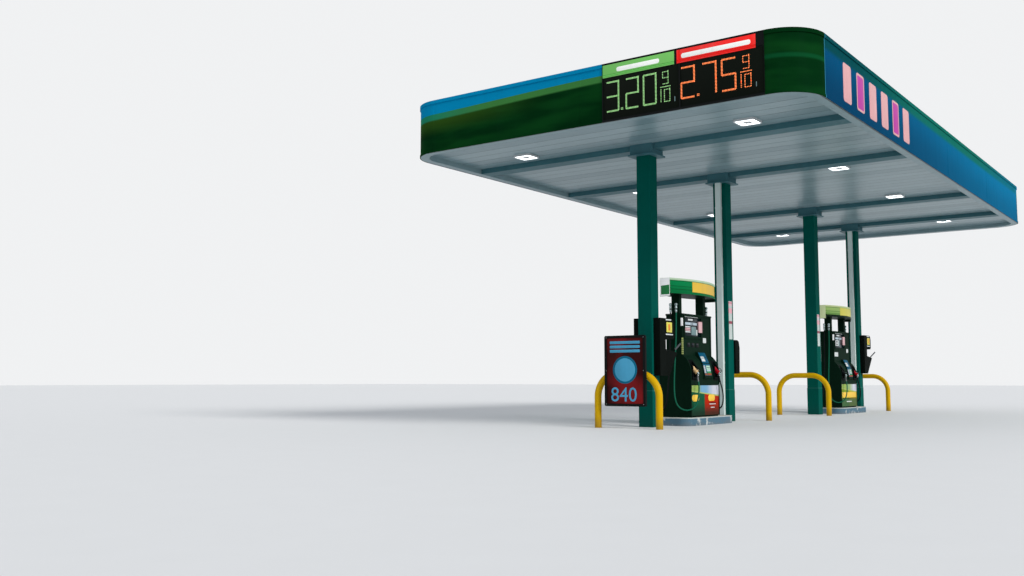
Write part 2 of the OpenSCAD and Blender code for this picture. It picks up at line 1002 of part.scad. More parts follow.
dispenser_cabinet(1);  // dispenser_cabinet_1
dispenser_cabinet(2);  // dispenser_cabinet_2
dispenser_topper(1);  // dispenser_topper_1
dispenser_topper(2);  // dispenser_topper_2
dispenser_nozzles(1);  // dispenser_nozzles_1
dispenser_nozzles(2);  // dispenser_nozzles_2
hose(1, 1, -1);  // hose_1_a
hose(1, 1, 1);  // hose_1_b
hose(1, -1, -1);  // hose_1_c
hose(1, -1, 1);  // hose_1_d
hose(2, 1, -1);  // hose_2_a
hose(2, 1, 1);  // hose_2_b
hose(2, -1, -1);  // hose_2_c
hose(2, -1, 1);  // hose_2_d
service_units();
column_notices();
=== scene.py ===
import math

import bmesh
import bpy
from mathutils import Matrix, Vector


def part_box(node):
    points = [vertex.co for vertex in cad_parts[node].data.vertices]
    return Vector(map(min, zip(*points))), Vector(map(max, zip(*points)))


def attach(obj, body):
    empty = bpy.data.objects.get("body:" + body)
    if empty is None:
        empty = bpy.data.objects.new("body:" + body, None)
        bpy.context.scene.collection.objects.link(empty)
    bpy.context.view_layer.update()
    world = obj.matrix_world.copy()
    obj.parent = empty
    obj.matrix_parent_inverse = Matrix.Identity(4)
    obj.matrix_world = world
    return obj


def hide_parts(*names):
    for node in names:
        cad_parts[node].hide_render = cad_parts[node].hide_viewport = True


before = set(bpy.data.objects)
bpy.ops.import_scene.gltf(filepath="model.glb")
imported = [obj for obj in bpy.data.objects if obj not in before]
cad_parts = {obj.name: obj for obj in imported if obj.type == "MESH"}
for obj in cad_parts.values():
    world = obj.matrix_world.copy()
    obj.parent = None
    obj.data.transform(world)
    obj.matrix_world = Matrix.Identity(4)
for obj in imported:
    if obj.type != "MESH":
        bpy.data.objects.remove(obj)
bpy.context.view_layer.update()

scene = bpy.context.scene
scene.view_settings.view_transform = "Standard"
islandY = (-3.9625, 3.9625)
columnY = (-5.4865, -2.4385, 2.4385, 5.4865)
sides = (0, 1)  # 0 is the +X face of a dispenser, 1 the -X face
alongX, alongY, upZ, downZ = (1, 0, 0), (0, 1, 0), (0, 0, 1), (0, 0, -1)

# Camera
cameraValues = {"place": (8.305, -20.722, 0.774), "turn": (95.224, 0.0, 36.265), "lens": 35.663}
cameraData = bpy.data.cameras.new("camera")
cameraData.lens = cameraValues["lens"]
cameraData.sensor_width = 36.0
cameraData.clip_end = 400.0
camera = bpy.data.objects.new("camera", cameraData)
camera.location = cameraValues["place"]
camera.rotation_euler = [math.radians(a) for a in cameraValues["turn"]]
scene.collection.objects.link(camera)
scene.camera = camera


# Node trees: a small helper that adds nodes to a material or a shader group
class Tree:
    def __init__(self, tree):
        self.tree = tree
        self.place = None

    def add(self, kind, settings=None, **inputs):
        node = self.tree.nodes.new(kind)
        for key, value in (settings or {}).items():
            setattr(node, key, value)
        for key, value in inputs.items():
            self.feed(node.inputs[key.replace("_", " ")], value)
        return node

    def feed(self, socket, value):
        if isinstance(value, bpy.types.NodeSocket):
            self.tree.links.new(value, socket)
        elif value is not None:
            if socket.type == "RGBA" and len(value) == 3:
                value = (*value, 1.0)
            socket.default_value = value

    def position(self):
        if self.place is None:
            self.place = self.add("ShaderNodeTexCoord").outputs["Object"]
        return self.place

    def axes(self):
        return self.add("ShaderNodeSeparateXYZ", Vector=self.position()).outputs

    def noise(self, scale, detail=3.0, stretch=(1, 1, 1), roughness=0.5):
        scaled = self.add("ShaderNodeMapping", Vector=self.position())
        scaled.inputs["Scale"].default_value = stretch
        return self.add("ShaderNodeTexNoise", Vector=scaled.outputs[0], Scale=scale,
                        Detail=detail, Roughness=roughness).outputs[0]

    def math(self, kind, a, b=None):
        node = self.add("ShaderNodeMath", {"operation": kind})
        for socket, value in zip(node.inputs, (a, b)):
            self.feed(socket, value)
        return node.outputs[0]

    def away(self, value):
        return self.math("ABSOLUTE", value)

    def most(self, a, b):
        return self.math("MAXIMUM", a, b)

    def over(self, value, level):
        return self.math("GREATER_THAN", value, level)

    def under(self, value, level):
        return self.math("LESS_THAN", value, level)

    def times(self, *values):
        total = values[0]
        for value in values[1:]:
            total = self.math("MULTIPLY", total, value)
        return total

    def plus(self, a, b):
        return self.math("ADD", a, b)

    def ramp(self, value, low, high, start=0.0, end=1.0):
        node = self.add("ShaderNodeMapRange", {"interpolation_type": "SMOOTHSTEP"}, Value=value)
        for key, number in (("From Min", low), ("From Max", high), ("To Min", start), ("To Max", end)):
            self.feed(node.inputs[key], number)
        return node.outputs[0]

    def band(self, value, low, high, soft=0.002):
        rising = self.ramp(value, low - soft, low + soft)
        falling = self.ramp(value, high - soft, high + soft, 1.0, 0.0)
        return self.times(rising, falling)

    def mix(self, factor, a, b, mode="MIX"):
        node = self.add("ShaderNodeMix", {"data_type": "RGBA", "blend_type": mode})
        for index, value in ((0, factor), (6, a), (7, b)):
            self.feed(node.inputs[index], value)
        return node.outputs[2]

    def grey(self, value):
        return self.add("ShaderNodeCombineColor", Red=value, Green=value, Blue=value).outputs[0]

    def bump(self, height, strength=0.3, distance=0.002, normal=None):
        node = self.add("ShaderNodeBump", Height=height, Strength=strength, Distance=distance)
        if normal is not None:
            self.feed(node.inputs["Normal"], normal)
        return node.outputs[0]


def makeGroup(name, inputs, outputs, build):
    group = bpy.data.node_groups.new(name, "ShaderNodeTree")
    for label, kind, value in inputs:
        socket = group.interface.new_socket(name=label, in_out="INPUT", socket_type=kind)
        socket.default_value = value
    for label, kind in outputs:
        group.interface.new_socket(name=label, in_out="OUTPUT", socket_type=kind)
    tree = Tree(group)
    entry = group.nodes.new("NodeGroupInput").outputs
    leave = group.nodes.new("NodeGroupOutput").inputs
    for label, value in build(tree, entry).items():
        tree.feed(leave[label], value)
    return group


# Rain streaks, mottling and a dusty foot, for every painted or moulded surface
weatherValues = {"mottle": (2.3, 5.0), "fine": (34.0, 3.0), "streak": (1.0, 4.0, (9.0, 9.0, 0.55)),
                 "streakEdge": (0.48, 0.78), "speckEdge": (0.62, 0.78), "footWander": 0.5,
                 "dirtRoughness": 0.35, "fineRoughness": 0.12}


def weatherNodes(t, given):
    v = weatherValues
    z = t.axes()["Z"]
    mottle, fine, streak = t.noise(*v["mottle"]), t.noise(*v["fine"]), t.noise(*v["streak"])
    uneven = t.plus(mottle, -0.5)
    streakMask = t.times(t.ramp(streak, *v["streakEdge"]), given["Streaks"])
    shade = t.plus(1.0, t.times(uneven, given["Mottle"]))
    toned = t.mix(1.0, given["Colour"], t.grey(shade), "MULTIPLY")
    footEdge = t.plus(given["Foot"], t.times(uneven, v["footWander"]))
    foot = t.times(t.ramp(z, 0.0, footEdge, 1.0, 0.0), given["Foot Dirt"])
    speck = t.times(t.ramp(fine, *v["speckEdge"]), given["Specks"])
    dirt = t.most(t.most(streakMask, foot), speck)
    grain = t.times(t.plus(fine, -0.5), v["fineRoughness"])
    rough = t.plus(given["Roughness"], t.plus(t.times(dirt, v["dirtRoughness"]), grain))
    return {"Colour": t.mix(dirt, toned, given["Dirt"]), "Roughness": rough, "Height": fine}


weather = makeGroup(
    "weather",
    [("Colour", "NodeSocketColor", (0.5, 0.5, 0.5, 1)), ("Dirt", "NodeSocketColor", (0.2, 0.18, 0.15, 1)),
     ("Roughness", "NodeSocketFloat", 0.4), ("Mottle", "NodeSocketFloat", 0.25),
     ("Streaks", "NodeSocketFloat", 0.2), ("Specks", "NodeSocketFloat", 0.1),
     ("Foot", "NodeSocketFloat", 0.3), ("Foot Dirt", "NodeSocketFloat", 0.0)],
    [("Colour", "NodeSocketColor"), ("Roughness", "NodeSocketFloat"), ("Height", "NodeSocketFloat")],
    weatherNodes)


# Chips that show primer or bare metal through paint
chipValues = {"detail": 6.0, "roughness": 0.65, "edge": 0.03}


def chipNodes(t, given):
    v = chipValues
    broad = t.noise(given["Scale"], v["detail"], roughness=v["roughness"])
    bite = t.ramp(broad, given["Threshold"], t.plus(given["Threshold"], v["edge"]))
    return {"Colour": t.mix(bite, given["Paint"], given["Under"])}


chips = makeGroup(
    "chips",
    [("Paint", "NodeSocketColor", (0.5, 0.5, 0.5, 1)), ("Under", "NodeSocketColor", (0.2, 0.2, 0.2, 1)),
     ("Scale", "NodeSocketFloat", 8.0), ("Threshold", "NodeSocketFloat", 0.7)],
    [("Colour", "NodeSocketColor")],
    chipNodes)


class Finish(Tree):
    def __init__(self, name):
        self.material = bpy.data.materials.new(name)
        self.material.use_nodes = True
        super().__init__(self.material.node_tree)
        self.shader = self.tree.nodes["Principled BSDF"]

    def group(self, which, **inputs):
        node = self.add("ShaderNodeGroup")
        node.node_tree = which
        for key, value in inputs.items():
            self.feed(node.inputs[key.replace("_", " ")], value)
        return node.outputs

    def set(self, **inputs):
        for key, value in inputs.items():
            self.feed(self.shader.inputs[key.replace("_", " ")], value)
        return self.material


# A weathered surface in one colour, or in the colour that another node gives
usualWear = {"Mottle": 0.22, "Streaks": 0.12, "Specks": 0.06}


def plainFinish(name, colour, roughness=0.4, metallic=0.0, coat=0.0, glow=0.0, relief=0.15, depth=0.0008,
                shine=0.5, **wear):
    f = Finish(name)
    given = {**usualWear, **wear}
    out = f.group(weather, Colour=colour(f) if callable(colour) else colour, Roughness=roughness, **given)
    f.set(Base_Color=out["Colour"], Roughness=out["Roughness"], Metallic=metallic, Coat_Weight=coat,
          Specular_IOR_Level=shine, Normal=f.bump(out["Height"], relief, depth))
    if glow:
        f.set(Emission_Color=out["Colour"], Emission_Strength=glow)
    return f.material


def chippedFinish(name, paint, under, roughness, scale, threshold, **wear):
    def colour(f):
        return f.group(chips, Paint=paint, Under=under, Scale=scale, Threshold=threshold)["Colour"]
    return plainFinish(name, colour, roughness, **wear)


# Fascia print: green ends with a sky band, long sides blue under a teal band. Rises count from the sheets'
# foot, and those of the olive and the line from the sky band's foot
fasciaValues = {
    "foot": 4.710, "straight": 3.018, "corner": 6.980, "sideEdge": (3.630, 3.636),
    "cornerEdge": (6.980, 6.984, 1.0, 0.0), "skin": 0.623, "signLeft": 0.407,
    "cloud": (0.9, 2.0, (1.0, 1.0, 5.0)), "cloudEdge": (0.35, 0.7),
    "sideRun": (-7.0, 6.0), "sideRise": (0.1, 0.8),
    "tealRise": (0.66, 0.76), "tealNear": (-6.5, -1.0), "tealFar": (2.0, 6.5), "seamWide": 0.018,
    "skyFoot": (-3.7, 0.45, 0.66, 0.74), "oliveRise": (-0.42, -0.10), "oliveRun": (-2.9, -0.4, 0.85, 0.0),
    "lineRun": (-3.4, -1.6), "lineRise": (-0.125, -0.085), "cornerStart": (3.01, 3.014),
    "cornerBand": (0.50, 0.56, 0.02)}
fasciaColours = {
    "green": (0.001, 0.022, 0.005), "greenLit": (0.003, 0.042, 0.008), "olive": (0.026, 0.075, 0.008),
    "line": (0.012, 0.20, 0.11), "lineFar": (0.045, 0.19, 0.045), "sky": (0.001, 0.225, 0.44),
    "blue": (0.001, 0.042, 0.105), "blueFar": (0.001, 0.105, 0.22), "blueLit": (0.001, 0.066, 0.16),
    "blueLitFar": (0.001, 0.15, 0.31), "tealNear": (0.001, 0.055, 0.066), "tealMid": (0.004, 0.13, 0.10),
    "tealFar": (0.002, 0.13, 0.19), "seam": (0.03, 0.22, 0.34), "corner": (0.003, 0.060, 0.018),
    "bare": (0.30, 0.33, 0.34)}


def endPrint(f, x, y, height):
    v, c = fasciaValues, fasciaColours
    colour = f.mix(f.ramp(f.noise(*v["cloud"]), *v["cloudEdge"]), c["green"], c["greenLit"])
    # the sky band narrows toward the price sign, over a green band with a soft foot, and runs round the back
    belowSky = f.plus(height, f.times(f.ramp(x, *v["skyFoot"]), -1.0))
    banded = f.most(f.under(x, v["signLeft"]), f.over(y, 0.0))
    olive = f.times(f.ramp(belowSky, *v["oliveRise"]), f.ramp(x, *v["oliveRun"]))
    colour = f.mix(olive, colour, c["olive"])
    line = f.mix(f.ramp(x, *v["lineRun"]), c["line"], c["lineFar"])
    colour = f.mix(f.times(f.ramp(belowSky, *v["lineRise"]), banded), colour, line)
    colour = f.mix(f.times(f.over(belowSky, 0.0), banded), colour, c["sky"])
    corner = f.times(f.ramp(x, *v["cornerStart"]), f.under(y, 0.0), f.band(height, *v["cornerBand"]))
    return f.mix(corner, colour, c["corner"])


def sidePrint(f, y, far, height):
    v, c = fasciaValues, fasciaColours
    along = f.ramp(y, *v["sideRun"])
    blue = f.mix(f.ramp(height, *v["sideRise"]), f.mix(along, c["blue"], c["blueFar"]),
                 f.mix(along, c["blueLit"], c["blueLitFar"]))
    # a soft teal band along the top, and a pale seam where the side starts
    teal = f.mix(f.ramp(y, *v["tealFar"]), c["tealMid"], c["tealFar"])
    teal = f.mix(f.ramp(y, *v["tealNear"]), c["tealNear"], teal)
    colour = f.mix(f.ramp(height, *v["tealRise"]), blue, teal)
    return f.mix(f.over(far, v["corner"] - v["seamWide"]), colour, c["seam"])


def fasciaColour(f):
    v = fasciaValues
    x, y, z = f.axes()
    height = f.plus(z, -v["foot"])
    wide, far = f.away(x), f.away(y)
    onSide = f.times(f.ramp(wide, *v["sideEdge"]), f.ramp(far, *v["cornerEdge"]))
    printed = f.mix(onSide, endPrint(f, x, y, height), sidePrint(f, y, far, height))
    # the sheets are printed outside only
    past = [f.most(f.plus(a, -b), 0.0) for a, b in ((wide, v["straight"]), (far, v["corner"]))]
    reach = f.math("SQRT", f.plus(f.times(past[0], past[0]), f.times(past[1], past[1])))
    return f.mix(f.over(reach, v["skin"]), fasciaColours["bare"], printed)


# Gutters: the pans' grey, which is painted shade on white sheet, with a dark line where they meet the fascia
gutterValues = {"rimX": (3.610, 3.622), "rimY": (7.572, 7.584), "sheet": (0.21, 0.31, 0.34),
                "rim": (0.02, 0.04, 0.045)}


def gutterColour(f):
    v = gutterValues
    x, y, z = f.axes()
    rim = f.most(f.ramp(f.away(x), *v["rimX"]), f.ramp(f.away(y), *v["rimY"]))
    return f.mix(rim, v["sheet"], v["rim"])


# Ceiling pans: each pan in a slightly different tone, dark seams, long shallow waves. The pans are white;
# their dark blue-grey tones are painted shade
ceilingValues = {"pan": 0.305, "dark": (0.16, 0.25, 0.28), "pale": (0.23, 0.33, 0.36),
                 "seam": (0.06, 0.08, 0.09), "seamEdge": (0.016, 0.036, 1.0, 0.0), "seamShare": 0.80,
                 "dirt": (0.16, 0.18, 0.18), "wave": (1.0, 2.0, (0.5, 7.0, 1.0)), "waveBump": (0.35, 0.004),
                 "grainBump": (0.08, 0.0006), "shine": 0.25, "roughness": 0.30}


def ceilingFinish(name, start, pitch):
    v = ceilingValues
    f = Finish(name)
    across = f.math("DIVIDE", f.plus(f.axes()["Y"], -start), pitch)
    tone = f.add("ShaderNodeTexWhiteNoise", {"noise_dimensions": "1D"}, W=f.math("FLOOR", across))
    pan = f.mix(tone.outputs["Value"], v["dark"], v["pale"])
    toSeam = f.away(f.plus(f.math("FRACT", f.plus(across, 0.5)), -0.5))
    seam = f.times(f.ramp(toSeam, *v["seamEdge"]), v["seamShare"])
    out = f.group(weather, Colour=f.mix(seam, pan, v["seam"]), Dirt=v["dirt"], Roughness=v["roughness"],
                  Mottle=0.14, Streaks=0.10, Specks=0.10)
    wave = f.bump(f.noise(*v["wave"]), *v["waveBump"])
    return f.set(Base_Color=out["Colour"], Roughness=out["Roughness"], Specular_IOR_Level=v["shine"],
                 Normal=f.bump(out["Height"], *v["grainBump"], wave))


# Columns: at the lap of the foot's sleeve a pale line is painted as a highlight on its edge
columnValues = {"paint": (0.0008, 0.084, 0.066), "lapHighlight": (0.05, 0.17, 0.14), "lapBand": (0.601, 0.612, 0.002),
                "lapShare": 0.8}


def columnColour(f):
    v = columnValues
    lapHighlight = f.times(f.band(f.axes()["Z"], *v["lapBand"]), v["lapShare"])
    return f.mix(lapHighlight, v["paint"], v["lapHighlight"])


# Notices: a pale sheet with a pink top and plain bands
noticeValues = {"sheet": (0.50, 0.57, 0.55), "top": (0.70, 0.50, 0.54), "topEdge": (2.21, 2.22),
                "soft": 0.006, "bands": ((2.07, 2.17, (0.78, 0.38, 0.44)), (1.868, 1.922, (0.26, 0.03, 0.06)),
                                         (2.258, 2.290, (0.62, 0.22, 0.28))),
                "screws": {"x": 0.1298, "y": (-0.064, 0.064), "z": (1.585, 2.290),
                           "rings": [(0, 0.0055), (0.001, 0.005), (0.0015, 0.002)]}}


def noticeColour(f):
    v = noticeValues
    z = f.axes()["Z"]
    colour = f.mix(f.ramp(z, *v["topEdge"]), v["sheet"], v["top"])
    for low, high, tint in v["bands"]:
        colour = f.mix(f.band(z, low, high, v["soft"]), colour, tint)
    return colour


# Price sign: lit headers over dark fields; lengths in metres from each face's left edge
signValues = {
    "face": -7.620, "left": (0.419, 1.679), "width": 1.220, "header": (5.397, 5.596), "foot": 4.864,
    "recesses": ((0.4245, 1.7070), (1.7320, 3.0145)), "fieldFoot": 4.744, "ribs": (5.4145, 5.442),
    "least": 0.01, "cabinet": (0.004, 0.005, 0.005), "tints": ((0.10, 0.38, 0.075), (0.66, 0.012, 0.010)),
    "prices": (("320", "ledGreen", "headerGreen"), ("275", "ledAmber", "headerRed")),
    "digit": (0.205, 0.452), "starts": (0.068, 0.407, 0.705), "rows": 0.013, "trim": (0.55, 0.008),
    "dot": (0.322, 0.344), "dotRises": (0.002, 0.022), "small": (0.090, 0.180),
    "tenths": (("9", 1.024, 5.132), ("1", 0.904, 4.864), ("0", 1.050, 4.864)), "bar": (0.990, 1.146, 5.088),
    "lamp": 0.0078, "pitch": 0.0195, "lampOut": 0.0085, "lampHigh": 0.005,
    "stripes": (0.73, 1.07), "stripe": (0.070, 0.030), "stripeMiddle": 5.497,
    "stripeDepth": (0.002, 0.0018, 0.0006), "fieldDepth": (0.009, 0.0135), "fieldGap": 0.002,
    "headerDepth": (0.0015, 0.0055), "tag": (0.006, -0.02, 0.05), "tagDepth": (0.006, 0.0095, 0.001),
    "tagInset": (0.0, 0.002)}


# The headers' colours run on over the ribs between the recesses
def signColour(f):
    v = signValues
    x, y, z = f.axes()
    header = f.times(f.band(z, *v["header"], 0.001), f.under(y, v["face"] + 0.001))
    colour = v["cabinet"]
    for left, tint in zip(v["left"], v["tints"]):
        colour = f.mix(f.times(header, f.band(x, left, left + v["width"], 0.001)), colour, tint)
    return colour


# Topper print: thin straight darker lines under a pale top edge, with a dark underside. Each topper has its
# body, lit and edge colours, and the height where its underside ends
topperPrint = {"lit": (2.32, 2.50), "lines": (2.375, 2.430, 2.522), "half": 0.007, "soft": 0.003,
               "share": 0.55, "line": (0.001, 0.045, 0.012), "edge": (2.531, 2.539),
               "foot": (0.001, 0.012, 0.005),
               1: ((0.0008, 0.16, 0.045), (0.0015, 0.24, 0.072), (0.56, 0.74, 0.52), 2.302),
               2: ((0.16, 0.34, 0.08), (0.34, 0.50, 0.16), (0.60, 0.68, 0.36), 2.352)}


def topperColour(number):
    def colour(f):
        v = topperPrint
        body, lit, edge, foot = v[number]
        z = f.axes()["Z"]
        base = f.mix(f.ramp(z, *v["lit"]), body, lit)
        for middle in v["lines"]:
            line = f.band(z, middle - v["half"], middle + v["half"], v["soft"])
            base = f.mix(f.times(line, v["share"]), base, v["line"])
        base = f.mix(f.ramp(z, *v["edge"]), base, edge)
        return f.mix(f.ramp(z, foot - 0.002, foot), v["foot"], base)
    return colour


# Lower doors: plain blocks of colour under a straight slanted top band; lengths run from the door's middle.
# Each door has its left, right, top and foot colours, and the heights between which the foot darkens
doorPrint = {"split": (-0.031, -0.029), "rise": 0.08, "band": 0.560, "edge": 0.022, "footShare": 0.85,
             "start": (-0.26, -0.16), "fade": (0.0, 0.35), "line": (0.36, 0.44, 0.14),
             "startTint": (0.26, 0.38, 0.09), "fadeTint": (0.54, 0.56, 0.64),
             1: ((0.008, 0.090, 0.042), (0.42, 0.018, 0.003), (0.16, 0.34, 0.50), (0.012, 0.026, 0.018),
                 (0.18, 0.42)),
             2: ((0.20, 0.28, 0.030), (0.42, 0.34, 0.020), (0.26, 0.38, 0.16), (0.035, 0.11, 0.060),
                 (0.33, 0.35))}


def doorColour(number):
    def colour(f):
        v = doorPrint
        left, right, top, foot, dark = v[number]
        x, y, z = f.axes()
        local = f.times(f.plus(f.away(y), -islandY[1]), f.math("SIGN", y), f.math("SIGN", x))
        body = f.mix(f.ramp(local, *v["split"]), left, right)
        body = f.mix(f.ramp(z, *dark, v["footShare"], 0.0), body, foot)
        sloped = f.plus(z, f.times(local, v["rise"]))
        body = f.mix(f.over(sloped, v["band"] - v["edge"]), body, v["line"])
        band = f.mix(f.ramp(local, *v["fade"]), top, v["fadeTint"])
        band = f.mix(f.ramp(local, *v["start"]), v["startTint"], band)
        return f.mix(f.over(sloped, v["band"]), body, band)
    return colour


# Cabinets: very dark green, and near black in the nozzles' boots
cabinetValues = {"bootY": (0.345, 0.535, 0.001), "bootZ": (0.78, 1.16, 0.004), "bootX": (0.22, 0.23),
                 "paint": (0.003, 0.015, 0.008), "boot": (0.002, 0.004, 0.004)}


def cabinetColour(f):
    v = cabinetValues
    x, y, z = f.axes()
    local = f.plus(f.away(y), -islandY[1])
    boot = f.times(f.band(f.away(local), *v["bootY"]), f.band(z, *v["bootZ"]), f.ramp(f.away(x), *v["bootX"]))
    return f.mix(boot, v["paint"], v["boot"])


# Kerb paint, chipped down to concrete grey, with a pale top edge that is a painted highlight where the top
# catches the light
kerbValues = {"paint": (0.068, 0.145, 0.205), "under": (0.42, 0.46, 0.47), "chips": (5.0, 0.54),
              "edge": (0.118, 0.132), "edgeShare": 0.9, "paintedTopHighlight": (0.50, 0.54, 0.52)}


def kerbColour(f):
    v = kerbValues
    scale, threshold = v["chips"]
    paint = f.group(chips, Paint=v["paint"], Under=v["under"], Scale=scale, Threshold=threshold)["Colour"]
    # the pale band along the top is a painted highlight
    edge = f.times(f.ramp(f.axes()["Z"], *v["edge"]), v["edgeShare"])
    return f.mix(edge, paint, v["paintedTopHighlight"])


# Poster sheet: two cloudy dark reds
crimsonValues = {"cloud": (1.7, 2.0), "edge": (0.35, 0.65), "dark": (0.030, 0.003, 0.003),
                 "lit": (0.21, 0.010, 0.012)}


def crimsonColour(f):
    v = crimsonValues
    return f.mix(f.ramp(f.noise(*v["cloud"]), *v["edge"]), v["dark"], v["lit"])


